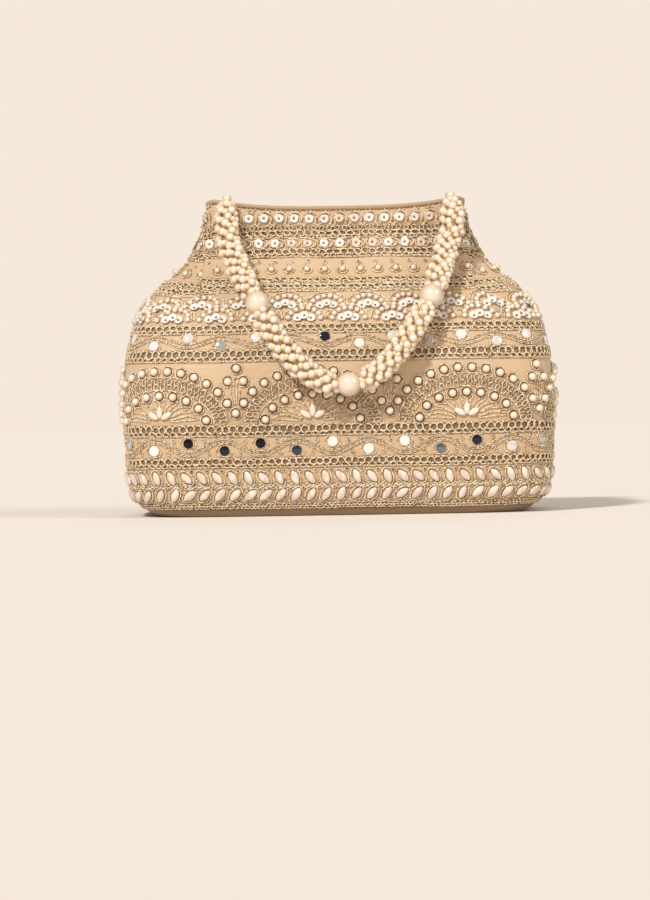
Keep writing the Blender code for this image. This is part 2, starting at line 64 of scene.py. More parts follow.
# %% [markdown]
# ## The camera
#
# The bag is seen almost straight on, a little from its left and a little from above, and through a
# long lens, so that widths across the picture keep one scale.

# %% Camera
PIXELS_PER_METRE = 2020
FRAME_HEIGHT_PX = 900
SENSOR = 36
CAMERA_DISTANCE = 2.0
CAMERA_ELEVATION = math.radians(1.0)
CAMERA_AZIMUTH = math.radians(-0.8)
CAMERA_ROLL = math.radians(-0.9)
AIM = Vector((-0.0074, -0.030, 0.0317))

away = Vector((
    math.sin(CAMERA_AZIMUTH) * math.cos(CAMERA_ELEVATION),
    -math.cos(CAMERA_AZIMUTH) * math.cos(CAMERA_ELEVATION),
    math.sin(CAMERA_ELEVATION),
))
camera_data = bpy.data.cameras.new("camera")
camera_data.sensor_width = SENSOR
camera_data.lens = SENSOR * CAMERA_DISTANCE * PIXELS_PER_METRE / FRAME_HEIGHT_PX
camera_data.clip_end = 50
camera = in_scene("camera", camera_data)
camera.location = AIM + away * CAMERA_DISTANCE
facing = away.to_track_quat("Z", "Y")
camera.rotation_euler = (facing @ Matrix.Rotation(CAMERA_ROLL, 3, "Z").to_quaternion()).to_euler()
bpy.context.scene.camera = camera
print("camera lens", round(camera_data.lens, 1))

# %% [markdown]
# ## The wall as a function
#
# The wall's section is a rounded rectangle (a superellipse) whose width, depth and squareness change
# with height. A place on it is a share `t` of the way round, from the middle of the front towards +X,
# and a height `v`. The corner folds draw the side panels in behind the edge of the front at the neck.

# %% Outline of the wall
BODY_HEIGHT = 150.3 * MM
WALL_FOOT = 4.3 * MM
LIP_RISE, LIP_BAND, LIP_SWEEP = 4.2 * MM, 6.0 * MM, 3
FOLD_DEPTH, FOLD_STEP = 3.0 * MM, 1.5 * MM
FOLD_HALF_WIDTH, FOLD_MOUTH_HALF_WIDTH = 67.0 * MM, 60.5 * MM
FOLD_START, FOLD_FULL, FOLD_FADE, FOLD_END = 0.62, 0.76, 0.90, 0.98
FRONT_COLUMNS, SIDE_COLUMNS = 11, 7
# Depth of a fold, as shares of FOLD_DEPTH, in the columns from just before the corner's edge
FOLD_SHAPE = (0, 0.25, -1, -0.85, -0.55, -0.25, 0)
# Share of the height, then width and depth in millimetres, then squareness
STATIONS = np.array((
    (0.000, 183, 102, 5.0),
    (0.027, 195, 108, 5.0),
    (0.073, 206, 113, 5.0),
    (0.140, 210.5, 116, 5.0),
    (0.400, 213.5, 120, 4.8),
    (0.600, 205, 106, 4.8),
    (0.740, 181.5, 74, 4.8),
    (0.830, 151.5, 50, 5.5),
    (0.940, 133.5, 39, 6.0),
    (1.040, 124.5, 35, 8.0),
))


def smooth(a, b, t):
    k = np.clip((np.asarray(t, float) - a) / (b - a), 0, 1)
    return k * k * (3 - 2 * k)


def station(height, column):
    """An outline value at a height, by a cubic that never overshoots."""
    z, f = STATIONS[:, 0] * BODY_HEIGHT, STATIONS[:, column]
    t = min(max(height, z[0]), z[-1])
    step, rise = np.diff(z), np.diff(f) / np.diff(z)
    slope = np.zeros(len(z))
    slope[0], slope[-1] = rise[0], rise[-1]
    for k in range(1, len(z) - 1):
        if rise[k - 1] * rise[k] > 0:
            slope[k] = (step[k - 1] + step[k]) / (step[k] / rise[k - 1] + step[k - 1] / rise[k])
    i = max(k for k in range(len(step)) if t >= z[k])
    q = (t - z[i]) / step[i]
    ends = f[i] * (1 + 2 * q) * (1 - q) ** 2 + f[i + 1] * q * q * (3 - 2 * q)
    return ends + step[i] * (slope[i] * q * (1 - q) ** 2 + slope[i + 1] * q * q * (q - 1))


def fold_strength(v):
    share = np.asarray(v) / BODY_HEIGHT
    return smooth(FOLD_START, FOLD_FULL, share) * (1 - smooth(FOLD_FADE, FOLD_END, share))


# %% [markdown]
# The outline is tabulated once, by height and by share of a quarter, and every later call reads
# between the rows of that table. This keeps tens of thousands of stitches quick to place.

# %% Table of the outline
HEIGHT_ROWS, SHARE_ROWS = 400, 600
row_heights = np.linspace(0, BODY_HEIGHT, HEIGHT_ROWS)
row_x = np.zeros((HEIGHT_ROWS, SHARE_ROWS))
row_y = np.zeros((HEIGHT_ROWS, SHARE_ROWS))
row_column = np.zeros((HEIGHT_ROWS, SHARE_ROWS))
row_length = np.zeros(HEIGHT_ROWS)
for i, height in enumerate(row_heights):
    a, b = station(height, 1) / 2 * MM, station(height, 2) / 2 * MM
    n = station(height, 3)
    turn = np.linspace(0, math.pi / 2, 721)
    x = a * np.sin(turn) ** (2 / n)
    y = -b * np.clip(np.cos(turn), 0, 1) ** (2 / n)
    x[-1], y[-1] = a, 0
    s = np.concatenate(([0], np.cumsum(np.hypot(np.diff(x), np.diff(y)))))
    share, corner = height / BODY_HEIGHT, a * 0.5 ** (1 / n)
    fold = FOLD_HALF_WIDTH + (FOLD_MOUTH_HALF_WIDTH - FOLD_HALF_WIDTH) * smooth(FOLD_FULL, FOLD_END, share)
    fold = corner + (min(fold, 0.985 * a) - corner) * smooth(FOLD_START, FOLD_FULL, share)
    s_fold = np.interp(fold, x, s)
    even = (s[-1] - s_fold) / SIDE_COLUMNS
    first = even + (min(FOLD_STEP, even) - even) * fold_strength(height)
    columns = np.concatenate((
        np.linspace(0, s_fold, FRONT_COLUMNS + 1), np.linspace(s_fold + first, s[-1], SIDE_COLUMNS)
    ))
    reach = np.linspace(0, s[-1], SHARE_ROWS)
    row_x[i], row_y[i] = np.interp(reach, s, x), np.interp(reach, s, y)
    row_column[i] = np.interp(reach, columns, np.arange(len(columns)))
    row_length[i] = s[-1]


def girth(v):
    """The way round the bag at a height."""
    return 4 * np.interp(v, row_heights, row_length)


def read(table, w, v):
    i = np.clip(v / BODY_HEIGHT * (HEIGHT_ROWS - 1), 0, HEIGHT_ROWS - 1.001)
    j = np.clip(w * (SHARE_ROWS - 1), 0, SHARE_ROWS - 1.001)
    i0, j0 = i.astype(int), j.astype(int)
    p, q = i - i0, j - j0
    low = table[i0, j0] * (1 - q) + table[i0, j0 + 1] * q
    high = table[i0 + 1, j0] * (1 - q) + table[i0 + 1, j0 + 1] * q
    return low * (1 - p) + high * p


def quarter(t):
    """A share of the girth as a share of one quarter, with the signs that carry it back."""
    t = np.mod(t, 1.0)
    sx = np.where(t > 0.5, -1.0, 1.0)
    t = np.where(t > 0.5, 1 - t, t)
    sy = np.where(t > 0.25, -1.0, 1.0)
    return np.where(t > 0.25, 0.5 - t, t) / 0.25, sx, sy


def lip_rise(column):
    front = LIP_RISE * (np.minimum(column, FRONT_COLUMNS) / FRONT_COLUMNS) ** LIP_SWEEP
    return front - LIP_RISE * 0.5 * np.clip(column - FRONT_COLUMNS, 0, None) / SIDE_COLUMNS


def fabric(t, v):
    """Points of the fabric, folds left out."""
    t, v = np.broadcast_arrays(np.asarray(t, float), np.asarray(v, float))
    w, sx, sy = quarter(t)
    column = read(row_column, w, v)
    z = v + lip_rise(column) * smooth(BODY_HEIGHT - LIP_BAND, BODY_HEIGHT, v)
    return np.stack((sx * read(row_x, w, v), sy * read(row_y, w, v), z), -1), column


def unit(a):
    return a / np.linalg.norm(a, axis=-1, keepdims=True)


def surface(t, v, folded=True):
    """Points on the wall with the directions along, up and out there."""
    t, v = np.broadcast_arrays(np.asarray(t, float), np.asarray(v, float))
    point, column = fabric(t, v)
    along = unit(fabric(t + 0.002, v)[0] - fabric(t - 0.002, v)[0])
    rise = fabric(t, np.minimum(v + 0.8 * MM, BODY_HEIGHT))[0] - fabric(t, v - 0.8 * MM)[0]
    out = unit(np.cross(along, rise))
    if folded:
        shape = np.interp(column - FRONT_COLUMNS, np.arange(len(FOLD_SHAPE)) - 1, FOLD_SHAPE)
        point = point + out * (shape * FOLD_DEPTH * fold_strength(v))[..., None]
    return point, along, np.cross(out, along), out


print("girth at the hip", round(float(girth(0.06)), 4), "at the neck", round(float(girth(0.145)), 4))

# %% [markdown]
# ## Colours and finishes
#
# Each finish is a small node tree. The silk carries painted shade under and beside the thread, the thread
# runs from cream to old gold with painted shade in its twist, and pearls are pale with painted shade, warm
# and darker, at their outline.


# %% Node helpers
def new_material(name):
    made = bpy.data.materials.new(name)
    made.use_nodes = True
    tree = made.node_tree
    return made, tree, tree.nodes["Principled BSDF"]


def grain_group():
    """One node group that every finish uses for its grain, on the piece's own coordinates."""
    group = bpy.data.node_groups.new("grain", "ShaderNodeTree")
    for name, kind in (("Scale", "Float"), ("Detail", "Float"), ("Stretch", "Vector")):
        group.interface.new_socket(name, in_out="INPUT", socket_type="NodeSocket" + kind)
    group.interface.new_socket("Mask", in_out="OUTPUT", socket_type="NodeSocketFloat")
    given, result = group.nodes.new("NodeGroupInput"), group.nodes.new("NodeGroupOutput")
    coords = group.nodes.new("ShaderNodeTexCoord")
    mapping = group.nodes.new("ShaderNodeMapping")
    texture = group.nodes.new("ShaderNodeTexNoise")
    for source, output, goal, entry in (
        (coords, "Object", mapping, "Vector"), (given, "Stretch", mapping, "Scale"),
        (mapping, "Vector", texture, "Vector"), (given, "Scale", texture, "Scale"),
        (given, "Detail", texture, "Detail"), (texture, "Fac", result, "Mask"),
    ):
        group.links.new(source.outputs[output], goal.inputs[entry])
    return group


grain = grain_group()


def noise(tree, scale, detail=4.0, stretch=(1, 1, 1)):
    """Places the grain group in a finish, in features per metre."""
    made = tree.nodes.new("ShaderNodeGroup")
    made.node_tree = grain
    for name, value in (("Scale", scale), ("Detail", detail), ("Stretch", stretch)):
        made.inputs[name].default_value = value
    return made.outputs["Mask"]


def ramp(tree, value, *stops):
    made = tree.nodes.new("ShaderNodeValToRGB")
    elements = made.color_ramp.elements
    while len(elements) < len(stops):
        elements.new(0.5)
    for element, (place, colour) in zip(elements, stops):
        element.position = place
        element.color = (*colour, 1)
    tree.links.new(value, made.inputs["Fac"])
    return made.outputs["Color"]


def mix(tree, share, a, b):
    made = tree.nodes.new("ShaderNodeMix")
    made.data_type = "RGBA"
    for socket, value in ((made.inputs["Factor"], share), (made.inputs["A"], a), (made.inputs["B"], b)):
        if isinstance(value, bpy.types.NodeSocket):
            tree.links.new(value, socket)
        else:
            socket.default_value = value if isinstance(value, float) else (*value, 1)
    return made.outputs["Result"]


def attribute(tree, name):
    """A value that the piece's own mesh carries."""
    made = tree.nodes.new("ShaderNodeAttribute")
    made.attribute_name = name
    return made.outputs["Fac"]


def dress(tree, shader, colour, plain, grain_height=None, depth=0.0):
    """Gives a finish its colour, its plain values and the depth of its grain."""
    tree.links.new(colour, shader.inputs["Base Color"])
    for name, value in plain.items():
        shader.inputs[name].default_value = value
    if grain_height is not None:
        made = tree.nodes.new("ShaderNodeBump")
        made.inputs["Strength"].default_value = 0.6
        made.inputs["Distance"].default_value = depth
        tree.links.new(grain_height, made.inputs["Height"])
        tree.links.new(made.outputs["Normal"], shader.inputs["Normal"])


# %% Silk, satin and lining
SILK_LIGHT, SILK_DEEP = (0.70, 0.515, 0.330), (0.60, 0.415, 0.245)
# SILK_SHADED is painted shade: the colour the silk takes under and beside the thread.
SILK_SHADED = (0.24, 0.145, 0.070)
SATIN_LIGHT, SATIN_DEEP = (0.52, 0.365, 0.215), (0.42, 0.275, 0.150)
# The base rim's colours are partly the satin's own darker tone and partly painted shade where the base
# tucks under.
RIM_LIGHT, RIM_DEEP = (0.33, 0.21, 0.105), (0.24, 0.15, 0.072)
LINING_LIGHT, LINING_DEEP = (0.70, 0.56, 0.39), (0.58, 0.45, 0.30)

silk, tree, shader = new_material("champagne_silk")
patches = ramp(tree, noise(tree, 45, 3), (0.35, (0.2, 0.2, 0.2)), (0.7, (0.0, 0.0, 0.0)))
slubs = mix(tree, noise(tree, 260, 5, (1, 1, 7)), SILK_DEEP, SILK_LIGHT)
# The mask turns the silk to painted shade where thread lies over it.
shade = mix(tree, attribute(tree, "painted_shade"), mix(tree, patches, slubs, SILK_DEEP), SILK_SHADED)
dress(tree, shader, shade, {"Roughness": 0.52, "Sheen Weight": 0.25},
      noise(tree, 1500, 3, (1, 1, 2.5)), 0.25 * MM)


def cloth(name, light, deep, roughness, features, stretch, sheen):
    made, tree, shader = new_material(name)
    shade = mix(tree, noise(tree, features, 4, stretch), deep, light)
    dress(tree, shader, shade, {"Roughness": roughness, "Sheen Weight": sheen},
          noise(tree, 4 * features, 2, stretch), 0.2 * MM)
    return made


rim_satin_and_shade = cloth("rim_satin_and_painted_shade", RIM_LIGHT, RIM_DEEP, 0.38, 300, (1, 1, 6), 0.2)
satin = cloth("tan_satin", SATIN_LIGHT, SATIN_DEEP, 0.40, 300, (1, 1, 6), 0.2)
lining_cloth = cloth("lining_cloth", LINING_LIGHT, LINING_DEEP, 0.75, 500, (1, 1, 1), 0.1)

# %% Thread, seeds and metal
# The thread's cream and old gold are its own colours; the darkest colour is painted shade in the twist of
# the cord.
THREAD_LIGHT, THREAD_MID, THREAD_TWIST_SHADE = (0.90, 0.76, 0.55), (0.68, 0.49, 0.28), (0.22, 0.13, 0.06)

thread, tree, shader = new_material("gold_thread")
twist = noise(tree, 1100, 3)
dress(tree, shader, ramp(tree, twist, (0.36, THREAD_TWIST_SHADE), (0.46, THREAD_MID), (0.55, THREAD_LIGHT)),
      {"Roughness": 0.42, "Specular IOR Level": 0.6}, twist, 0.3 * MM)

# Painted shade: the dark brown of the discs that stand for shade round pearls and in small loops.
shade_thread, tree, shader = new_material("painted_shadow_brown")
shade = ramp(tree, noise(tree, 1300, 2), (0.4, (0.22, 0.13, 0.062)), (0.65, (0.41, 0.27, 0.15)))
dress(tree, shader, shade, {"Roughness": 0.7}, noise(tree, 1300, 2), 0.1 * MM)


def speckled(name, a, b, speckles, plain, fine=None, depth=0.0, detail=2):
    """A finish that varies between two colours, with a fine grain where `fine` is given."""
    made, tree, shader = new_material(name)
    dress(tree, shader, mix(tree, noise(tree, speckles, detail), a, b), plain,
          noise(tree, fine, 2) if fine else None, depth)
    return made


# Painted warm shade: the small pearls between the strings are coloured deep gold for the warm shade
# between the big pearls.
filler_shade_finish = speckled("filler_pearl_warm_shade", (0.97, 0.78, 0.54), (0.86, 0.62, 0.36), 500,
                         {"Roughness": 0.28, "Coat Weight": 0.6}, 1300, 0.1 * MM)
pin_finish = speckled("russet_thread", (0.22, 0.07, 0.025), (0.40, 0.17, 0.07), 900,
                      {"Roughness": 0.45}, 1300, 0.1 * MM)
snap_metal = speckled("snap_metal", (0.80, 0.66, 0.38), (0.62, 0.50, 0.28), 300,
                      {"Metallic": 1.0, "Roughness": 0.24}, 1200, 0.03 * MM, 3)


# %% Pearls, sequins and mirrors
def pearl_finish(name, light, deep, roughness):
    made, tree, shader = new_material(name)
    # Painted shade: the pearl's colour darkens to the warm second colour towards its outline.
    outline_shade = tree.nodes.new("ShaderNodeLayerWeight")
    outline_shade.inputs["Blend"].default_value = 0.52
    body = mix(tree, noise(tree, 180, 2), light, tuple(0.9 * c for c in light))
    plain = {"Roughness": roughness, "Coat Weight": 1.0, "Coat IOR": 1.75, "Coat Roughness": 0.06,
             "Sheen Weight": 0.15}
    dress(tree, shader, mix(tree, outline_shade.outputs["Facing"], body, deep), plain,
          noise(tree, 700, 2), 0.03 * MM)
    return made


# The second colour of each pearl finish is its painted shade at the outline.
pearl = pearl_finish("cream_pearl", (0.99, 0.88, 0.74), (0.60, 0.385, 0.20), 0.24)
accent = pearl_finish("accent_pearl", (0.93, 0.82, 0.66), (0.56, 0.36, 0.18), 0.20)
nacre = pearl_finish("leaf_nacre", (0.93, 0.87, 0.79), (0.70, 0.52, 0.35), 0.26)
tree = nacre.node_tree
shader = tree.nodes["Principled BSDF"]
streaks = ramp(tree, noise(tree, 420, 2, (1, 1, 0.5)), (0.38, (0.66, 0.50, 0.36)), (0.60, (1.0, 1.0, 1.0)))
layer = tree.nodes.new("ShaderNodeMix")
layer.data_type, layer.blend_type = "RGBA", "MULTIPLY"
layer.inputs["Factor"].default_value = 0.55
tree.links.new(shader.inputs["Base Color"].links[0].from_socket, layer.inputs["A"])
tree.links.new(streaks, layer.inputs["B"])
tree.links.new(layer.outputs["Result"], shader.inputs["Base Color"])

sequin, tree, shader = new_material("white_sequin")
milky = mix(tree, noise(tree, 120, 2), (0.95, 0.92, 0.88), (0.90, 0.83, 0.74))
dress(tree, shader, mix(tree, attribute(tree, "tone"), milky, SILK_LIGHT),
      {"Roughness": 0.22, "Coat Weight": 0.8}, noise(tree, 900, 2), 0.05 * MM)

# Painted reflection: a mirror's colour runs from blue-black to silk-coloured and white, and the brighter
# ones are less metallic so that the painted colour shows.
mirror, tree, shader = new_material("mirror_glass")
tone = attribute(tree, "tone")
shade = ramp(tree, tone, (0.0, (0.03, 0.025, 0.03)), (0.45, (0.08, 0.10, 0.15)),
             (0.6, (0.62, 0.60, 0.57)), (1.0, (0.97, 0.95, 0.92)))
dress(tree, shader, shade, {"Roughness": 0.08}, noise(tree, 500, 2), 0.02 * MM)
polish = ramp(tree, tone, (0.5, (0.9, 0.9, 0.9)), (0.7, (0.25, 0.25, 0.25)))
tree.links.new(polish, shader.inputs["Metallic"])
print("finishes", len(bpy.data.materials))

# %% [markdown]
# ## Making pieces
#
# A piece is gathered as arrays of points and faces. Small things that repeat, such as a pearl or a
# loop of cord, are drawn once as a template and stamped on the wall by its own directions.


# %% Gathering and stamping
class Batch:
    """Points and faces of one piece, with a tone for each face."""

    def __init__(self):
        self.points, self.faces, self.tones, self.count = [], [], [], 0

    def add(self, points, faces, tone=0.0):
        points = np.asarray(points).reshape(-1, 3)
        self.points.append(points)
        self.faces += [tuple(self.count + i for i in face) for face in faces]
        self.tones += [tone] * len(faces)
        self.count += len(points)

    def piece(self, name, finish, body, slot, replaces=(), tone=False):
        mesh = bpy.data.meshes.new(name)
        mesh.from_pydata(np.concatenate(self.points).tolist(), [], self.faces)
        mesh.validate()
        mesh.shade_smooth()
        if tone:
            layer = mesh.attributes.new("tone", "FLOAT", "FACE")
            layer.data.foreach_set("value", self.tones)
        mesh.materials.append(finish)
        return settle(in_scene(name, mesh), body, replaces)


def settle(made, body, replaces=()):
    """Gives a finished piece its body and hides the nodes it stands for."""
    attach(made, body)
    if replaces:
        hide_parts(*replaces)
    made.data.calc_loop_triangles()
    print(made.name, len(made.data.loop_triangles), "triangles")
    return made


def from_bmesh(bm):
    bm.verts.ensure_lookup_table()
    points = np.array([v.co[:] for v in bm.verts])
    faces = [tuple(v.index for v in f.verts) for f in bm.faces]
    bm.free()
    return points, faces


def ball(radius, segments, rings):
    bm = bmesh.new()
    bmesh.ops.create_uvsphere(bm, u_segments=segments, v_segments=rings, radius=radius)
    bm.verts.index_update()
    return from_bmesh(bm)


def turned(profile, segments=14):
    """A closed profile of (radius, height) spun about the outward direction."""
    bm = bmesh.new()
    verts = [bm.verts.new((r, 0, h)) for r, h in profile]
    edges = [bm.edges.new(pair) for pair in zip(verts, verts[1:])]
    bmesh.ops.spin(bm, geom=verts + edges, cent=(0, 0, 0), axis=(0, 0, 1), angle=math.tau,
                   steps=segments, use_merge=True)
    bmesh.ops.remove_doubles(bm, verts=bm.verts, dist=1e-7)
    bmesh.ops.recalc_face_normals(bm, faces=bm.faces)
    bm.verts.index_update()
    return from_bmesh(bm)


def tube(rows, sides, closed=False):
    """Faces round a tube, whose points come in rows of as many as it has sides."""
    return [
        (i * sides + (j + 1) % sides, (i + 1) % rows * sides + (j + 1) % sides,
         (i + 1) % rows * sides + j, i * sides + j)
        for i in range(rows if closed else rows - 1) for j in range(sides)
    ]


def grid(rows, columns):
    """Faces of a cloth or a core that is laid out as rings of points."""
    return [
        (i * columns + j, i * columns + (j + 1) % columns, (i + 1) * columns + (j + 1) % columns,
         (i + 1) * columns + j)
        for i in range(rows - 1) for j in range(columns)
    ]


def ends(rows, sides):
    """The two faces that close a tube or a grid."""
    return [tuple(reversed(range(sides))), tuple((rows - 1) * sides + j for j in range(sides))]


def section(sides):
    """Angles of the points round a cord, which lies on a flat side."""
    return np.arange(sides) * math.tau / sides + math.pi / 4


def loop(rx, ry, thick, around=10, sides=4):
    """A closed loop of cord lying on the wall."""
    a, b = np.arange(around) * math.tau / around, section(sides)
    swell = thick * np.cos(b)
    x = np.cos(a)[:, None] * (rx + swell[None])
    y = np.sin(a)[:, None] * (ry + swell[None])
    z = np.broadcast_to(thick * np.sin(b)[None] + thick, x.shape)
    faces = [face[::-1] for face in tube(around, sides, closed=True)]
    return np.stack((x, y, z), -1).reshape(-1, 3), faces


def open_line(x, y, thick, sides=4):
    """An open cord lying on the wall along a line."""
    line, b = np.stack((x, y), -1), section(sides)
    ahead = unit(np.gradient(line, axis=0))
    across = thick * np.cos(b)
    px = line[:, :1] - ahead[:, 1:] * across[None]
    py = line[:, 1:] + ahead[:, :1] * across[None]
    pz = np.broadcast_to(thick * np.sin(b)[None] + thick, px.shape)
    return np.stack((px, py, pz), -1).reshape(-1, 3), tube(len(line), sides) + ends(len(line), sides)


def by_hand(t, v):
    """The slight rise and fall of rows that are sewn by hand."""
    return v + HAND_WAVE * (np.sin(math.tau * 7 * t + 38 * v) + 0.5 * np.sin(math.tau * 19 * t + 61 * v))


def stamp(batch, template, t, v, out=0.0, turn=0.0, size=1.0, tones=None, lean=None):
    """Copies a template to places on the wall, turned in the wall's plane."""
    points, faces = template
    given = np.broadcast_arrays(t, v, out, turn, size)
    t, v, out, turn, size = (np.atleast_1d(a).astype(float) for a in given)
    spot, along, up, normal = surface(t, by_hand(t, v))
    if lean is not None:
        normal = unit(normal + lean[:, :1] * along + lean[:, 1:] * up)
        along = unit(along - normal * np.sum(normal * along, -1, keepdims=True))
        up = np.cross(normal, along)
    c, s = np.cos(turn)[:, None], np.sin(turn)[:, None]
    ex, ey = along * c + up * s, up * c - along * s
    base = spot + normal * out[:, None]
    scaled = points[None] * size[:, None, None]
    placed = (base[:, None] + scaled[..., :1] * ex[:, None] + scaled[..., 1:2] * ey[:, None]
              + scaled[..., 2:] * normal[:, None])
    for k, group in enumerate(placed):
        batch.add(group, faces, 0.0 if tones is None else float(tones[k]))


def cord(batch, t, v, radius=0.33 * MM, out=0.3 * MM, closed=False, sides=4):
    """A cord couched along a line on the wall."""
    t, v = np.broadcast_arrays(np.asarray(t, float), np.asarray(v, float))
    spot, _, _, normal = surface(t, by_hand(t, v))
    centre = spot + normal * out
    if closed:
        ahead = np.roll(centre, -1, 0) - np.roll(centre, 1, 0)
    else:
        ahead = np.gradient(centre, axis=0)
    side = unit(np.cross(normal, unit(ahead)))
    b = section(sides)
    ring = (centre[:, None] + radius * np.cos(b)[None, :, None] * side[:, None]
            + radius * np.sin(b)[None, :, None] * normal[:, None])
    batch.add(ring, tube(len(t), sides, closed) + ([] if closed else ends(len(t), sides)))


def even(count, shift=0.0):
    """Shares of the girth for things spaced evenly round the bag."""
    return (np.arange(count) + shift) / count


HAND_WAVE = 0.14 * MM
# How far off the silk the cord of a loop lies, and a bead's middle
ON_SILK, BEAD_LIFT = 0.1 * MM, 1.0 * MM
random = np.random.default_rng(7)

# %% [markdown]
# ## Rows of chain stitch
#
# Eight narrow bands of round cord loops divide the wall. Each band is a row of overlapping loops between
# two scalloped cords, and the silk beneath it is in shadow.

# %% Chain bands
# Lowest and highest height of each band, in millimetres, and the spacing of its loops
CHAIN_BANDS = (
    (24.3, 28.8, 3.4), (39.6, 45.0, 3.5), (76.0, 81.6, 3.5), (89.6, 93.8, 3.4),
    (110.2, 113.6, 3.3), (113.6, 117.0, 3.3), (127.4, 131.4, 3.6), (137.0, 140.6, 3.6),
)
LOOP_CORD = 0.42 * MM
MIDDLE_OF_BAG = 85 * MM

chain_low, chain_high, borders = Batch(), Batch(), Batch()
for low, high, spacing in CHAIN_BANDS:
    low, high = low * MM, high * MM
    middle, reach = (low + high) / 2, (high - low) / 2
    count = 2 * round(girth(middle) / (spacing * MM) / 2)
    ring = loop(0.53 * spacing * MM, 0.72 * reach, LOOP_CORD)
    low_ring = loop(0.46 * spacing * MM, 0.40 * reach, 0.9 * LOOP_CORD, 8)
    chosen = chain_low if middle < MIDDLE_OF_BAG else chain_high
    places = even(count) + random.uniform(-0.09, 0.09, count) / count
    raised = middle + 0.24 * reach + random.uniform(-0.12, 0.12, count) * reach
    stamp(chosen, ring, places, raised, 0.25 * MM, random.uniform(-0.8, 0.2, count),
          random.uniform(0.88, 1.06, count))
    stamp(chosen, low_ring, even(count, 0.5), middle - 0.60 * reach, ON_SILK,
          random.uniform(-0.5, 0.5, count))
    fine = even(3 * count)
    scallop = 0.28 * MM * np.abs(np.sin(math.pi * count * fine))
    cord(borders, fine, low + 0.1 * MM - scallop, 0.32 * MM, closed=True)
    cord(borders, fine, high - 0.2 * MM + scallop, 0.26 * MM, closed=True)
chain_low.piece("chain_stitch_lower", thread, "bag_body", "thread")
chain_high.piece("chain_stitch_upper", thread, "bag_body", "thread")
borders.piece("chain_borders", thread, "bag_body", "thread")

# %% [markdown]
# ## The laurel of leaf beads
#
# Two rows of leaf-shaped beads lean away from a stem of chain stitch just above the base. Each bead
# sits in a loop of cord, with a small eye of thread between its tips and the next.

# %% Leaf beads
LEAF_COUNT, FOOT_LINKS = 78, 290
LEAF_LENGTH, LEAF_WIDTH, LEAF_HEIGHT = 7.4 * MM, 4.0 * MM, 2.4 * MM


def leaf_bead(length, width, height, segments=10, rings=8):
    """A bead pointed at both ends, rounder across than a lens."""
    a = np.linspace(0, math.pi, rings + 1)[1:-1]
    b = np.arange(segments) * math.tau / segments
    swell = np.sin(a) ** 1.35
    x = np.broadcast_to(-np.cos(a)[:, None] * length / 2, (len(a), segments))
    y = swell[:, None] * np.cos(b)[None] * width / 2
    z = swell[:, None] * np.sin(b)[None] * height / 2
    body = np.stack((x, y, z), -1).reshape(-1, 3)
    points = np.concatenate((body, [(-length / 2, 0, 0), (length / 2, 0, 0)]))
    rows, tail, tip = len(a), len(body), len(body) + 1
    last = (rows - 1) * segments
    faces = tube(rows, segments)
    faces += [(tail, (j + 1) % segments, j) for j in range(segments)]
    faces += [(tip, last + j, last + (j + 1) % segments) for j in range(segments)]
    return points, faces


def shadow_disc(radius, segments):
    """A low dark disc sunk in the silk: painted shade round a pearl and in the eye of a small loop."""
    top, foot = 0.12 * MM, -0.3 * MM
    return turned(((0, top), (radius, top), (radius, foot), (0, foot)), segments)


leaf = leaf_bead(LEAF_LENGTH, LEAF_WIDTH, LEAF_HEIGHT)
leaf_loop = loop(0.60 * LEAF_LENGTH, 0.68 * LEAF_WIDTH, 0.38 * MM, 14)
eye = loop(0.75 * MM, 0.75 * MM, 0.28 * MM, 8)
link = loop(1.25 * MM, 0.75 * MM, 0.30 * MM, 8)
# A dark disc of painted shade in the eye of each small loop.
eye_shadow = shadow_disc(0.6 * MM, 7)
leaves, leaf_cords, painted_shadows = Batch(), Batch(), Batch()
for height, tilt in ((19.2 * MM, math.radians(122)), (10.9 * MM, math.radians(52))):
    wobble = random.uniform(-0.30, 0.30, LEAF_COUNT)
    stamp(leaves, leaf, even(LEAF_COUNT), height, BEAD_LIFT, tilt + wobble,
          random.uniform(0.9, 1.06, LEAF_COUNT))
    stamp(leaf_cords, leaf_loop, even(LEAF_COUNT), height, ON_SILK, tilt + wobble)
for height, shift in ((22.6, 0.35), (15.6, 0.75), (7.6, 0.1)):
    stamp(leaf_cords, eye, even(LEAF_COUNT, shift), height * MM, ON_SILK)
    stamp(painted_shadows, eye_shadow, even(LEAF_COUNT, shift), height * MM)
for height in (14.6, 15.2):
    stamp(leaf_cords, link, even(3 * LEAF_COUNT, height), height * MM, 0.15 * MM, 0.3)
for height, shift in ((4.9, 0.0), (6.0, 0.5)):
    stamp(leaf_cords, link, even(FOOT_LINKS, shift), height * MM, ON_SILK,
          random.uniform(-0.7, 0.7, FOOT_LINKS))
leaves.piece("leaf_beads", nacre, "bag_body", "pearl")
leaf_cords.piece("laurel_cords", thread, "bag_body", "thread")

# %% [markdown]
# ## Mirrors on a vine
#
# Two bands hold small round mirrors, set by turns above and below a vine of chain stitch. A ring of
# cord holds each mirror and a tendril goes round it. In the lower band two curls fill the gap beside it.

# %% Mirror vines
VINE_BANDS = ((29.4, 39.4), (82.2, 89.4))
MIRROR_RADIUS, MIRROR_RISE = 2.45 * MM, 1.8 * MM
MIRROR_COUNT = 34
VINE_LANE, LINK_SPACING = 0.95 * MM, 1.75 * MM
# How bright each mirror's painted reflection shows in each band, from the front's left edge towards +X
MIRROR_REFLECTIONS = (
    (0.6, 1.0, 0.0, 0.1, 0.0, 0.4, 1.0, 1.0, 1.0, 0.5, 0.1, 0.8, 0.6),
    (0.9, 1.0, 0.8, 0.6, 1.0, 0.4, 0.2, 1.0, 0.9, 0.6, 1.0, 0.8),
)
FIRST_MIRROR = (-4.0, -7.0)
FIRST_REFLECTION = -6
CURLS = ((0.43, 1), (0.57, -1))

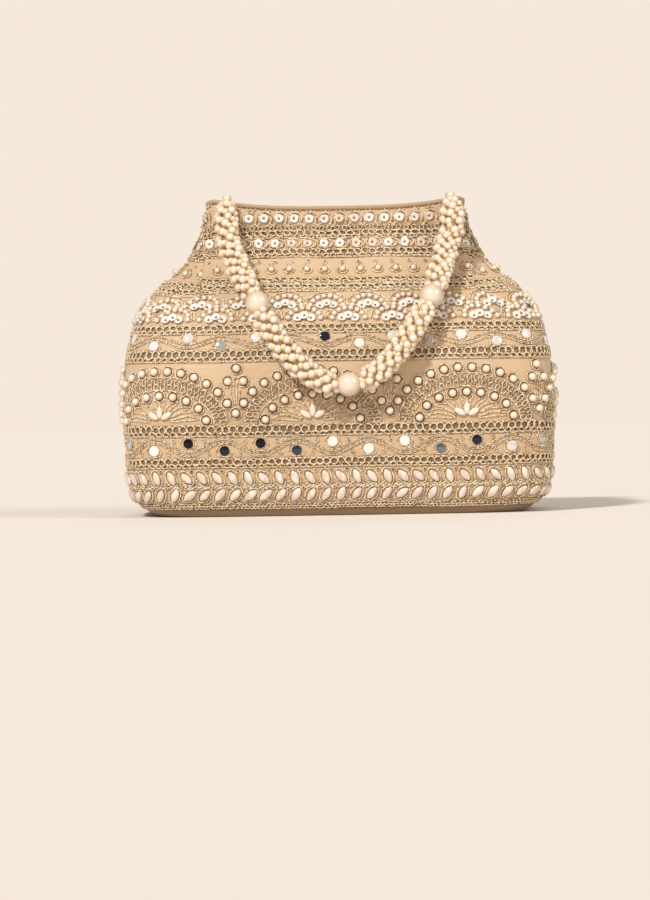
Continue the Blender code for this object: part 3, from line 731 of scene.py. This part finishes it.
disc = turned(((0, 0.75 * MM), (0.86 * MIRROR_RADIUS, 0.75 * MM), (MIRROR_RADIUS, 0.6 * MM),
               (MIRROR_RADIUS, 0.0), (0, 0.0)), 18)
holder = loop(1.08 * MIRROR_RADIUS, 1.08 * MIRROR_RADIUS, 0.24 * MM, 14)
stitch_link = loop(1.05 * MM, 0.45 * MM, 0.27 * MM, 8)
mirrors, vines = Batch(), Batch()
for (low, high), reflection_row, first_x, curls in zip(VINE_BANDS, MIRROR_REFLECTIONS, FIRST_MIRROR, (CURLS, ())):
    low, high = low * MM, high * MM
    middle, reach = (low + high) / 2, (high - low) / 2
    around = girth(middle)
    swing = reach - 1.7 * MM
    places = even(MIRROR_COUNT) + first_x * MM / around
    side = np.where(np.arange(MIRROR_COUNT) % 2, -1.0, 1.0)
    heights = middle + side * MIRROR_RISE
    tones = np.roll(np.resize(reflection_row, MIRROR_COUNT), FIRST_REFLECTION)
    lean = random.uniform(-0.05, 0.05, (MIRROR_COUNT, 2))
    stamp(mirrors, disc, places, heights, 0.2 * MM, 0.0, random.uniform(0.94, 1.04, MIRROR_COUNT),
          tones, lean)
    stamp(vines, holder, places, heights, ON_SILK)
    for lane in (-VINE_LANE, VINE_LANE):
        count = round(around / LINK_SPACING)
        fine = even(count)
        phase = math.pi * MIRROR_COUNT * (fine - places[0])
        slope = np.arctan(swing * math.pi * MIRROR_COUNT / around * np.sin(phase))
        stamp(vines, stitch_link, fine, middle - swing * np.cos(phase) + lane, 0.15 * MM, slope)
    for k, place in enumerate(places):
        a = np.linspace(0.0, 1.55 * math.pi, 14) - side[k] * 0.5 * math.pi - 0.2
        x, z = 3.9 * MM * np.cos(a), 3.5 * MM * np.sin(a)
        top = np.clip(heights[k] + z, low + 0.3 * MM, high - 0.3 * MM)
        cord(vines, place + x / around, top, 0.36 * MM)
        for step, way in curls:
            way = way * side[k]
            a = np.linspace(0.0, 2.5 * math.pi, 13)
            r = np.linspace(0.35, 1.35, 13) * MM
            cord(vines, place + step / MIRROR_COUNT + way * r * np.cos(a) / around,
                 middle + way * (reach - 1.9 * MM) - way * r * np.sin(a), 0.28 * MM)
# Each mirror carries the tone of its painted reflection.
mirrors.piece("mirrors", mirror, "bag_body", "accent_pearl", tone=True)
vines.piece("mirror_vines", thread, "bag_body", "thread")

# %% [markdown]
# ## The arches
#
# Eight wide arches stand in a row. Each has an outer ring of pearls, a band of cord loops, an inner
# ring of pearls and, at its foot, three leaf beads from which long petals of cord spread like a fan.
# Where two arches meet, four pearls and a few upright cords fill the gap.

# %% Arches
ARCH_COUNT = 8
ARCH_SHIFT = -13.5 * MM
ARCH_FOOT = 45.6 * MM
PEARL_RADIUS = 2.0 * MM
# Angles of the petals and of the leaf beads, and the pearls between two arches, across and up
PETALS = (6, 20, 38, 60, 80, 100, 120, 142, 160, 174)
LEAF_TRIO, TRIO_REACH, TRIO_SIZE = (90, 148, 32), 4.0 * MM, 0.84
GAP_PEARLS = ((0, 27.0), (-3.8, 20.8), (3.8, 20.8), (0, 5.4))

bead = ball(PEARL_RADIUS, 12, 8)
bead_ring = loop(1.42 * PEARL_RADIUS, 1.42 * PEARL_RADIUS, 0.34 * MM, 12)
arch_loop = loop(1.35 * MM, 1.95 * MM, 0.36 * MM, 10)
# A dark disc of painted shade round each pearl.
pearl_shadow = shadow_disc(1.36 * PEARL_RADIUS, 10)
hip_girth = float(girth(60 * MM))
arch_half = hip_girth / ARCH_COUNT / 2
pearls, arch_cords = Batch(), Batch()


def arch_point(centre, angle, width, height):
    """A place on an arch: angle 0 is its right foot and pi its left."""
    x = width * np.cos(angle)
    return centre + x / hip_girth, ARCH_FOOT + height * np.sin(angle)


def arch_angles(count, width, height, first, last):
    """Angles along an arch at even steps of length."""
    fine = np.linspace(first, last, 400)
    x, y = width * np.cos(fine), height * np.sin(fine)
    s = np.concatenate(([0], np.cumsum(np.hypot(np.diff(x), np.diff(y)))))
    return np.interp(np.linspace(0, s[-1], count), s, fine)


def set_pearls(t, v, size=1.0):
    """Pearls in rings of cord, on dark discs of painted shade."""
    stamp(pearls, bead, t, v, BEAD_LIFT, 0.0, size)
    stamp(arch_cords, bead_ring, t, v, ON_SILK)
    stamp(painted_shadows, pearl_shadow, t, v)


for k in range(ARCH_COUNT):
    centre = (ARCH_SHIFT / hip_girth) + k / ARCH_COUNT
    width, height = arch_half - 1.0 * MM, 25.8 * MM
    angles = arch_angles(12, width, height, 0.41, math.pi - 0.41)
    set_pearls(*arch_point(centre, angles, width, height))
    for shrink, count in ((0.0, 24), (2.9 * MM, 22)):
        w, h = width - 5.1 * MM - shrink, height - 4.7 * MM - shrink
        angles = arch_angles(count, w, h, 0.05, math.pi - 0.05)
        t, v = arch_point(centre, angles, w, h)
        slope = np.arctan2(h * np.cos(angles), -w * np.sin(angles))
        stamp(arch_cords, arch_loop, t, v, 0.15 * MM, slope + random.uniform(-0.3, 0.3, count), 0.86)
    for inset in (3.3 * MM, 9.6 * MM):
        fine = np.linspace(0.04, math.pi - 0.04, 70)
        w, h = width - inset, height - inset + 0.6 * MM
        t, v = arch_point(centre, fine, w, h)
        cord(arch_cords, t, v + 0.2 * MM * np.abs(np.sin(22 * fine)))
    w, h = width - 13.2 * MM, height - 11.8 * MM
    angles = arch_angles(9, w, h, 0.14, math.pi - 0.14)
    set_pearls(*arch_point(centre, angles, w, h), 0.97)
    for a in np.radians(LEAF_TRIO):
        stamp(pearls, leaf, centre + TRIO_REACH * math.cos(a) / hip_girth,
              ARCH_FOOT + 2.4 * MM + TRIO_REACH * math.sin(a) * 0.9, BEAD_LIFT, a, TRIO_SIZE)
    for angle in np.radians(PETALS):
        along = np.concatenate((np.linspace(0, 1, 8), np.linspace(1, 0, 8)[1:]))
        petal = np.sin(along * math.pi * 0.94) ** 0.7 * np.repeat((1.0, -1.0), (8, 7))
        reach = 5.2 * MM + (0.86 * w - 5.2 * MM) * along
        rise = 4.2 * MM + (0.82 * h - 4.2 * MM) * along
        bend = 0.12 * np.sin(along * math.pi) * (1 if angle < math.pi / 2 else -1)
        x, z = reach * np.cos(angle + bend), rise * np.sin(angle + bend)
        cord(arch_cords, centre + (x - 1.1 * MM * petal * math.sin(angle)) / hip_girth,
             ARCH_FOOT + 1.1 * MM + z + 1.1 * MM * petal * math.cos(angle), 0.40 * MM)
    between = centre + 0.5 / ARCH_COUNT
    for x, z in GAP_PEARLS:
        set_pearls(between + x * MM / hip_girth, ARCH_FOOT + z * MM)
    for bow in (-1.5, -0.5, 0.5, 1.5):
        z = np.linspace(9.5, 23.5, 12)
        x = bow * (0.5 + 1.1 * np.sin((z - 9.5) / 14 * math.pi))
        cord(arch_cords, between + x * MM / hip_girth, ARCH_FOOT + z * MM, 0.34 * MM)
arch_cords.piece("arch_cords", thread, "bag_body", "thread")

# %% [markdown]
# ## Fans, drops and sequins
#
# Above the second vine two rows of small fans stand in each other's gaps: an arc of pearls over three
# cupped sequins. Over them hang pearl drops. The neck has two rows of sequins, the upper in loops
# whose ends cross and the lower in ovals.

# %% Fans
FAN_COUNT = 25
FAN_FLOOR = 94.0 * MM
SMALL_PEARL = ball(1.4 * MM, 10, 6)
SEQUIN_RADIUS = 2.2 * MM
cup = turned(((0.35 * MM, 0.10 * MM), (1.2 * MM, 0.25 * MM), (SEQUIN_RADIUS, 0.85 * MM),
              (SEQUIN_RADIUS, 0.65 * MM), (1.2 * MM, 0.08 * MM), (0.35 * MM, 0.0),
              (0.35 * MM, 0.10 * MM)), 14)
pin = ball(0.5 * MM, 6, 4)
sequins, pins, fan_cords, small_pearls = Batch(), Batch(), Batch(), Batch()
for foot, shift in ((95.2 * MM, 0.0), (101.3 * MM, 0.5)):
    around = float(girth(foot + 4 * MM))
    for place in even(FAN_COUNT, shift + 0.22):
        for width, height, cord_radius in ((10.7, 8.3, 0.46), (9.6, 7.2, 0.36)):
            a = np.linspace(0.10, math.pi - 0.10, 22)
            cord(fan_cords, place + width * MM * np.cos(a) / around, foot + height * MM * np.sin(a),
                 cord_radius * MM, 0.4 * MM)
        a = np.linspace(0.16, math.pi - 0.16, 8)
        stamp(small_pearls, SMALL_PEARL, place + 7.9 * MM * np.cos(a) / around,
              foot + 0.3 * MM + 5.6 * MM * np.sin(a), BEAD_LIFT)
        x, z, raised = np.array(((-3.2, 0.0, 3.2), (1.2, 2.1, 1.2), (0, 0.5, 0))) * MM
        stamp(sequins, cup, place + x / around, foot + z, 0.6 * MM + raised,
              lean=random.uniform(-0.10, 0.10, (3, 2)))
        stamp(pins, pin, place + x / around, foot + z, BEAD_LIFT + raised)
        for x0 in (-1.6, -0.5, 0.5, 1.6):
            z = np.linspace(-4.2, -0.8, 5)
            cord(fan_cords, place + (x0 * (1 + 0.25 * (z + 4.2))) * MM / around,
                 np.maximum(foot + z * MM, FAN_FLOOR), 0.36 * MM)

# %% Drops
DROP_COUNT = 45
DROP_HEIGHT, DROP_STEM = 120.7 * MM, 4.3 * MM
drops = even(DROP_COUNT, 0.3)
a = np.linspace(math.radians(118), math.radians(422), 16)
wishbone = open_line(np.concatenate(((-0.7,), 2.6 * np.cos(a), (0.7,))) * MM,
                     np.concatenate(((4.3,), 2.5 * np.sin(a), (4.3,))) * MM, 0.36 * MM)
stamp(fan_cords, wishbone, drops, DROP_HEIGHT, 0.3 * MM)
stamp(small_pearls, SMALL_PEARL, drops, DROP_HEIGHT, 1.2 * MM, 0.0, 1.12)
stamp(fan_cords, eye, drops, DROP_HEIGHT + DROP_STEM, 0.2 * MM)
stamp(painted_shadows, eye_shadow, drops, DROP_HEIGHT + DROP_STEM)

# %% Sequin rows on the neck
SEQUIN_COUNT = 42
EYE_ROW, LIP_ROW = 142.0 * MM, 150.4 * MM
a = np.radians(np.linspace(-48, 228, 18))
crossed_loop = open_line(np.concatenate(((4.9, 3.9), 3.2 * np.cos(a), (-3.9, -4.9))) * MM,
                         np.concatenate(((-4.6, -3.9), 3.1 * np.sin(a), (-3.9, -4.6))) * MM, 0.40 * MM)
oval_loop = loop(3.7 * MM, 2.35 * MM, 0.40 * MM, 16)
small_loop = loop(1.15 * MM, 1.15 * MM, 0.32 * MM, 9)
for height, ring in ((146.6 * MM, crossed_loop), (134.3 * MM, oval_loop)):
    places = even(SEQUIN_COUNT, 0.3)
    shade = random.choice((0.0, 0.0, 0.1, 0.5, 0.7), SEQUIN_COUNT)
    lean = random.uniform(-0.16, 0.16, (SEQUIN_COUNT, 2))
    inset = places - 0.7 * MM / girth(height)
    stamp(sequins, cup, inset, height, 0.3 * MM, 0.0, 1.0, shade, lean)
    stamp(pins, pin, inset, height, 0.55 * MM)
    stamp(fan_cords, ring, places, height, 0.4 * MM)
stamp(fan_cords, small_loop, even(2 * SEQUIN_COUNT, 0.1), EYE_ROW, ON_SILK)
stamp(painted_shadows, eye_shadow, even(2 * SEQUIN_COUNT, 0.1), EYE_ROW)
for shift in (0.15, 0.45):
    stamp(fan_cords, small_loop, even(SEQUIN_COUNT, shift), LIP_ROW, 0.0, 0.0, 0.9)
sequins.piece("sequins", sequin, "bag_body", "accent_pearl", tone=True)
pins.piece("sequin_pins", pin_finish, "bag_body", "thread")
# The discs of painted shade are one piece.
painted_shadows.piece("painted_shadow_discs", shade_thread, "bag_body", "thread")
fan_cords.piece("fan_and_drop_cords", thread, "bag_body", "thread")
small_pearls.piece("small_pearls", pearl, "bag_body", "pearl")
pearls.piece("arch_pearls", pearl, "bag_body", "pearl")

# %% [markdown]
# ## Silk wall, lining, base and mouth
#
# The cloth pieces are closed sheets, laid out as grids. The silk carries a mask of painted shade that is
# near 1 beneath the chain bands and along the arches, and it puckers slightly where the stitches pull.


# %% Cloth grids
def cloth_shell(name, levels, columns, finish, slot, node, shade_masks=None, capped=False):
    """A closed sheet through rings of points, one ring at each level."""
    batch = Batch()
    rings = [level(np.arange(columns) / columns) for level in levels]
    n, last = columns, len(rings) - 1
    faces = grid(len(rings), n)
    if capped:
        faces += ends(len(rings), n)
    else:
        faces += [(last * n + j, last * n + (j + 1) % n, (j + 1) % n, j) for j in range(n)]
    batch.add(np.concatenate(rings), faces)
    made = batch.piece(name, finish, "bag_body", slot, (node,))
    if shade_masks is not None:
        # The mask of painted shade goes on the silk's points.
        layer = made.data.attributes.new("painted_shade", "FLOAT", "POINT")
        layer.data.foreach_set("value", np.concatenate(shade_masks))
    return made


def inside(t, v, inset):
    """A point level with a height, at a distance behind the fabric."""
    spot, _, _, out = surface(t, v, False)
    level = out * np.array((1, 1, 0))
    size = np.linalg.norm(level, axis=-1, keepdims=True)
    return spot - level / size * inset / np.maximum(size, 0.4)


def pucker(t, v):
    """Small unevenness of cloth that is pulled by its stitches."""
    ripples = np.sin(math.tau * 37 * t + 260 * v) * np.sin(1900 * v + 9 * np.sin(math.tau * 11 * t))
    broad = np.sin(math.tau * 9 * t + 1.3) * np.sin(75 * v + 0.8)
    return 0.10 * MM * ripples + 0.30 * MM * broad * smooth(0.55, 0.8, v / BODY_HEIGHT)


WALL, LINING, GAP = 1.6 * MM, 0.8 * MM, 0.3 * MM
WALL_ROWS, WALL_COLUMNS = 150, 300
heights = np.linspace(WALL_FOOT, BODY_HEIGHT, WALL_ROWS)
LINK_BANDS = [(4.2, 6.9), (14.0, 16.0), (141.0, 143.2)]
bands = np.array([band[:2] for band in CHAIN_BANDS] + LINK_BANDS) * MM
ARCH_BAND_WIDTH, ARCH_BAND_HEIGHT, ARCH_TOP = arch_half - 6.2 * MM, 19.8 * MM, 76 * MM


def painted_shade_share(t, v):
    """How much painted shade the thread casts on the silk: full under the bands, and along the arches."""
    near = np.zeros_like(t)
    for low, high in bands:
        entered = smooth(low - 0.7 * MM, low + 0.3 * MM, v)
        near = np.maximum(near, entered * (1 - smooth(high - 0.3 * MM, high + 0.7 * MM, v)))
    half = 0.5 / ARCH_COUNT
    x = (np.mod(t - ARCH_SHIFT / hip_girth + half, 1 / ARCH_COUNT) - half) * hip_girth
    reach = np.hypot(x / ARCH_BAND_WIDTH, (v - ARCH_FOOT) / ARCH_BAND_HEIGHT)
    arch = np.exp(-(((reach - 1) / 0.13) ** 2)) * (v > ARCH_FOOT) * (v < ARCH_TOP)
    return np.maximum(near * 0.9, 0.75 * arch)


def wall_outside(v):
    def ring(t):
        spot, _, _, out = surface(t, v)
        return spot + out * pucker(t, v)[:, None]
    return ring


def wall_inside(v):
    inset = WALL + (FOLD_DEPTH + 0.4 * MM) * fold_strength(v)
    return lambda t: inside(t, np.full_like(t, v), inset)


inner_heights = np.linspace(BODY_HEIGHT, WALL_FOOT, 24)
shares = np.arange(WALL_COLUMNS) / WALL_COLUMNS
levels = [wall_outside(v) for v in heights] + [wall_inside(v) for v in inner_heights]
# The outside of the wall takes painted shade from the mask; the inside takes none.
shade_masks = [painted_shade_share(shares, v) for v in heights] + [np.zeros(WALL_COLUMNS) for _ in inner_heights]
cloth_shell("silk_wall", levels, WALL_COLUMNS, silk, "silk", "outer_shell", shade_masks)

# %% Lining and base
BASE_THICK, BASE_EDGE = 4.0 * MM, 1.2 * MM
LINING_FLOOR = BASE_THICK + GAP
LINING_SLACK, LOOSE_FROM = 1.2 * MM, 0.45


def lining_inset(v):
    """How far behind the wall's face the lining hangs, more where the wall is folded."""
    share = v / BODY_HEIGHT
    loose = smooth(LOOSE_FROM, FOLD_START, share) * (1 - smooth(FOLD_FADE, 1.0, share))
    return WALL + 2 * GAP + FOLD_DEPTH * fold_strength(v) + LINING_SLACK * loose


def lining_ring(v, extra):
    low = max(v, LINING_FLOOR + extra)
    return lambda t: inside(t, np.full_like(t, low), lining_inset(v) + extra)


lining_heights = np.linspace(LINING_FLOOR, BODY_HEIGHT, 40)
levels = [lining_ring(v, 0.0) for v in lining_heights]
levels += [lining_ring(v, LINING) for v in lining_heights[::-1]]
cloth_shell("lining_cup", levels, 180, lining_cloth, "lining", "lining", capped=True)


def base_ring(v, out):
    def ring(t):
        spot, _, _, outward = surface(t, np.full_like(t, v), False)
        level = unit(outward * np.array((1, 1, 0)))
        return np.concatenate((spot[:, :2], np.full((len(t), 1), v)), 1) + level * out
    return ring


turns = np.linspace(0, math.pi / 2, 7)
levels = [base_ring(0.0, -1.6 * BASE_EDGE)]
levels += [base_ring(BASE_EDGE * (1 - math.cos(a)), -BASE_EDGE * (1 - math.sin(a))) for a in turns]
levels += [base_ring(v * MM, 0.15 * MM) for v in (2.0, 3.0)] + [base_ring(BASE_THICK, 0.0)]
# The base rim takes the darker satin with painted shade.
cloth_shell("base_rim", levels, 240, rim_satin_and_shade, "satin", "base_panel", capped=True)

# %% Rolled binding round the mouth
BINDING_HEIGHT, BINDING_OUT = 2.4 * MM, 0.9 * MM
BINDING_IN = lining_inset(BODY_HEIGHT) + LINING + BINDING_OUT


def binding_ring(angle):
    """One line of the rolled edge, by the angle round its section."""
    middle, reach = (BINDING_OUT - BINDING_IN) / 2, (BINDING_OUT + BINDING_IN) / 2
    out = middle + reach * math.copysign(abs(math.cos(angle)) ** 0.7, math.cos(angle))
    up = BINDING_HEIGHT / 2 * (1 + math.copysign(abs(math.sin(angle)) ** 0.8, math.sin(angle)))

    def ring(t):
        spot, _, _, outward = surface(t, np.full_like(t, BODY_HEIGHT), False)
        level = unit(outward * np.array((1, 1, 0)))
        ease = 0.12 * MM * np.sin(math.tau * 90 * t)
        return spot + level * (out + ease)[:, None] + np.array((0, 0, GAP + up))
    return ring


levels = [binding_ring(a) for a in np.arange(12) * math.tau / 12]
cloth_shell("rolled_binding", levels, 260, satin, "satin", "mouth_binding")

# %% [markdown]
# ## The pearl rope
#
# Five strings of pearls are twisted round a thread core and gathered at both ends, with smaller pearls in
# the furrows between them, coloured with painted warm shade, and three large pearls threaded on the whole
# rope. It hangs from the front of the mouth over the shoulder.

# %% Rope
ROPE_ROUTE = np.array((
    (-54.0, -21.0, 157.1), (-54.3, -30.5, 140.4), (-50.5, -37.9, 127.0), (-45.5, -49.3, 114.6),
    (-39.6, -58.0, 104.4), (-34.4, -64.4, 93.0), (-26.4, -68.5, 81.0), (-16.6, -70.9, 70.7),
    (-6.9, -71.6, 65.1), (4.0, -71.6, 64.1), (15.9, -71.2, 68.2), (26.4, -69.3, 77.9),
    (34.0, -66.3, 88.0), (40.0, -62.4, 97.5), (45.5, -56.2, 106.6), (50.0, -45.8, 118.5),
    (54.0, -34.7, 130.9), (57.6, -29.5, 142.8), (57.0, -21.0, 157.1),
)) * MM
ROPE_RADIUS, STRANDS = 6.6 * MM, 5
ROPE_PEARL, FILLER_PEARL = 2.15 * MM, 1.5 * MM
PEARL_STEP, STRAND_LAG = 2.02 * ROPE_PEARL, 0.9 * MM
ROPE_TURN = math.tau / (62 * MM)
ACCENT_RADIUS, ACCENT_KNOTS = 6.0 * MM, (4, 9, 14)
CAP_RADIUS, CAP_MARGIN = 2.2 * MM, 1.6 * MM
# Pearls just below each end of the rope, of which the lowest is on its inner side
END_PEARLS = ((0.0, -1.75, -2.1), (2.4, -1.6, -3.1), (-2.4, -1.6, -3.1))


def curve_through(knots, steps=12):
    """A smooth line through points."""
    points = []
    for k in range(len(knots) - 1):
        a, b = knots[max(k - 1, 0)], knots[k]
        c, d = knots[k + 1], knots[min(k + 2, len(knots) - 1)]
        for t in np.arange(steps) / steps:
            points.append(0.5 * (2 * b + (c - a) * t + (2 * a - 5 * b + 4 * c - d) * t**2
                                 + (3 * b - a - 3 * c + d) * t**3))
    points.append(knots[-1])
    return np.array(points)


rope_line = curve_through(ROPE_ROUTE)
rope_s = np.concatenate(([0], np.cumsum(np.linalg.norm(np.diff(rope_line, axis=0), axis=1))))
rope_length = float(rope_s[-1])
accents = [rope_s[np.argmin(np.linalg.norm(rope_line - ROPE_ROUTE[k], axis=1))] for k in ACCENT_KNOTS]


def rope_point(s):
    return np.stack([np.interp(s, rope_s, rope_line[:, k]) for k in range(3)], -1)


def on_rope(s):
    """Points of the rope's middle line, with two directions across it."""
    s = np.atleast_1d(s)
    ahead = unit(rope_point(s + 1.5 * MM) - rope_point(s - 1.5 * MM))
    side = unit(np.cross(ahead, np.array((0.0, 1.0, 0.0))))
    return rope_point(s), side, np.cross(ahead, side)


def beside_rope(s, angle, radius):
    """A point off the middle line, by the angle round it."""
    centre, side, other = (a[0] for a in on_rope(s))
    return centre + (side * math.cos(angle) + other * math.sin(angle)) * radius


def accent_gap(s):
    """The way along the rope to the nearest large pearl."""
    return min(abs(s - a) for a in accents)


rope = Batch()
rope_pearl = ball(ROPE_PEARL, 14, 9)
strand_radius = ROPE_RADIUS - ROPE_PEARL
for strand in range(STRANDS):
    for s in np.arange(CAP_RADIUS + CAP_MARGIN + strand * STRAND_LAG,
                       rope_length - CAP_RADIUS - CAP_MARGIN, PEARL_STEP):
        gap = accent_gap(s)
        if gap < 5.6 * MM:
            continue
        radius = strand_radius * (0.35 + 0.65 * float(smooth(2 * MM, 9 * MM, min(s, rope_length - s))))
        radius *= 0.50 + 0.50 * float(smooth(5 * MM, 11 * MM, gap))
        angle = s * ROPE_TURN + math.tau * strand / STRANDS + random.uniform(-0.12, 0.12)
        size = random.uniform(0.88, 1.04)
        spot = beside_rope(s, angle, radius) + random.uniform(-0.42, 0.42, 3) * MM
        rope.add(rope_pearl[0] * size + spot, rope_pearl[1])
for knot, way in ((rope_line[0], 1), (rope_line[-1], -1)):
    for place in (*END_PEARLS, (1.5 * way, -3.4, -4.0)):
        rope.add(rope_pearl[0] * 0.94 + knot + np.array(place) * MM, rope_pearl[1])
big = ball(ACCENT_RADIUS, 36, 22)
accent_start = len(rope.faces)
for s in accents:
    rope.add(big[0] + on_rope(s)[0][0], big[1])
accent_end = len(rope.faces)

CORE_RADIUS, CORE_SIDES = 2.1 * MM, 8
core_s = np.linspace(0, rope_length, 150)
angles = np.arange(CORE_SIDES) * math.tau / CORE_SIDES
centre, side, other = on_rope(core_s)
swell = CORE_RADIUS * (1 + 0.12 * np.sin(core_s[:, None] * 2600 + 2 * angles[None]))
core = centre[:, None] + swell[..., None] * (side[:, None] * np.cos(angles)[None, :, None]
                                             + other[:, None] * np.sin(angles)[None, :, None])
filler = ball(FILLER_PEARL, 9, 6)
for strand in range(STRANDS):
    for s in np.arange(6 * MM + strand * STRAND_LAG, rope_length - 6 * MM, PEARL_STEP):
        if accent_gap(s) > 7.5 * MM:
            angle = s * ROPE_TURN + math.tau * (strand + 0.5) / STRANDS
            rope.add(filler[0] + beside_rope(s, angle, strand_radius + 0.2 * MM), filler[1])
rope.add(core, grid(len(core_s), CORE_SIDES) + ends(len(core_s), CORE_SIDES))
rope_nodes = ["rope_left_upper", "rope_left_lower", "rope_right_lower", "rope_right_upper",
              "accent_pearl_left", "accent_pearl_centre", "accent_pearl_right"]
pearl_rope = rope.piece("pearl_rope", pearl, "handle", "pearl", rope_nodes)
pearl_rope.data.materials.append(accent)
# The small pearls take the finish of painted warm shade.
pearl_rope.data.materials.append(filler_shade_finish)
faces = np.arange(len(pearl_rope.data.polygons))
index = np.where(faces >= accent_end, 2, np.where(faces >= accent_start, 1, 0))
pearl_rope.data.polygons.foreach_set("material_index", index.astype(np.int32))
print("rope length", round(rope_length, 4))


# %% Rope ends and tabs
def solid(name, bm, finish, body, node):
    """A single small piece, smooth but for its sharp edges."""
    mesh = bpy.data.meshes.new(name)
    bm.to_mesh(mesh)
    bm.free()
    mesh.shade_smooth()
    mesh.set_sharp_from_angle(angle=math.radians(40))
    mesh.materials.append(finish)
    return settle(in_scene(name, mesh), body, (node,))


thick = 1.0 * MM
for side, knot in (("left", ROPE_ROUTE[0]), ("right", ROPE_ROUTE[-1])):
    bm = bmesh.new()
    bmesh.ops.create_uvsphere(bm, u_segments=20, v_segments=14, radius=CAP_RADIUS)
    for vert in bm.verts:
        around = math.atan2(vert.co.y, vert.co.x)
        vert.co *= 1 + 0.01 * math.sin(vert.co.z * 3000 + around)
    bmesh.ops.translate(bm, vec=Vector(knot), verts=bm.verts)
    solid("end_pearl_" + side, bm, pearl, "handle", "rope_cap_" + side)

    low, high = (Vector(c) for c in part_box("handle_tab_" + side))
    outline = [(low.y, high.z - thick), (high.y - thick, high.z - thick), (high.y - thick, low.z),
               (high.y, low.z), (high.y, high.z - 0.4 * thick), (high.y - 0.4 * thick, high.z),
               (low.y, high.z)]
    bm = bmesh.new()
    face = bm.faces.new([bm.verts.new((low.x, y, z)) for y, z in outline])
    grown = bmesh.ops.extrude_face_region(bm, geom=[face])
    moved = [g for g in grown["geom"] if isinstance(g, bmesh.types.BMVert)]
    bmesh.ops.translate(bm, vec=(high.x - low.x, 0, 0), verts=moved)
    bmesh.ops.recalc_face_normals(bm, faces=bm.faces)
    bmesh.ops.bevel(bm, geom=bm.edges[:], offset=0.18 * MM, affect="EDGES", segments=2,
                    profile=0.5, material=-1)
    solid("satin_tab_" + side, bm, satin, "bag_body", "handle_tab_" + side)

# %% Magnetic snap
for node in ("snap_stud", "snap_socket"):
    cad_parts[node].data.materials.clear()
    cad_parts[node].data.materials.append(snap_metal)

# %% [markdown]
# ## Light and setting
#
# A pale floor and an even, pale backdrop, with distant lights as in a bright studio: the main one from
# the upper left, a softer and weaker one from the right and a faint one from behind.

# %% Floor and backdrop
floor_mesh = bpy.data.meshes.new("floor")
bm = bmesh.new()
bmesh.ops.create_grid(bm, x_segments=1, y_segments=1, size=3.0)
bm.to_mesh(floor_mesh)
bm.free()
floor = in_scene("floor", floor_mesh)
floor_mesh.materials.append(speckled("pale_floor", (0.83, 0.775, 0.725), (0.82, 0.765, 0.712), 12,
                                     {"Roughness": 0.9, "Specular IOR Level": 0.0}, detail=3))

# What the camera sees behind the bag, and the light that comes from all round
BACKDROP, SKY_LIGHT = (0.922, 0.815, 0.716), (1.0, 0.93, 0.85)
world = bpy.data.worlds.new("studio")
bpy.context.scene.world = world
world.use_nodes = True
tree = world.node_tree
background = tree.nodes["Background"]
seen = tree.nodes.new("ShaderNodeBackground")
for node, colour, strength in ((seen, BACKDROP, 1.0), (background, SKY_LIGHT, 0.42)):
    node.inputs["Color"].default_value = (*colour, 1)
    node.inputs["Strength"].default_value = strength
ray = tree.nodes.new("ShaderNodeLightPath")
choose = tree.nodes.new("ShaderNodeMixShader")
tree.links.new(ray.outputs["Is Camera Ray"], choose.inputs["Fac"])
tree.links.new(background.outputs["Background"], choose.inputs[1])
tree.links.new(seen.outputs["Background"], choose.inputs[2])
tree.links.new(choose.outputs["Shader"], tree.nodes["World Output"].inputs["Surface"])


# %% Lights
def distant_light(name, towards, width_deg, strength, colour):
    """A sun that shines from a direction; its width in degrees softens the shadows."""
    data = bpy.data.lights.new(name, "SUN")
    data.angle = math.radians(width_deg)
    data.energy = strength
    data.color = colour
    made = in_scene(name, data)
    made.location = towards
    made.rotation_euler = Vector(towards).to_track_quat("Z", "Y").to_euler()


distant_light("key", (-3.0, -5.2, 5.0), 6.0, 2.45, (1.0, 0.97, 0.93))
distant_light("side", (4.4, -2.8, 3.6), 26.0, 0.75, (1.0, 0.95, 0.89))
distant_light("back", (0.5, 4.2, 4.0), 26.0, 0.30, (1.0, 0.96, 0.91))
bpy.context.scene.view_settings.view_transform = "Standard"
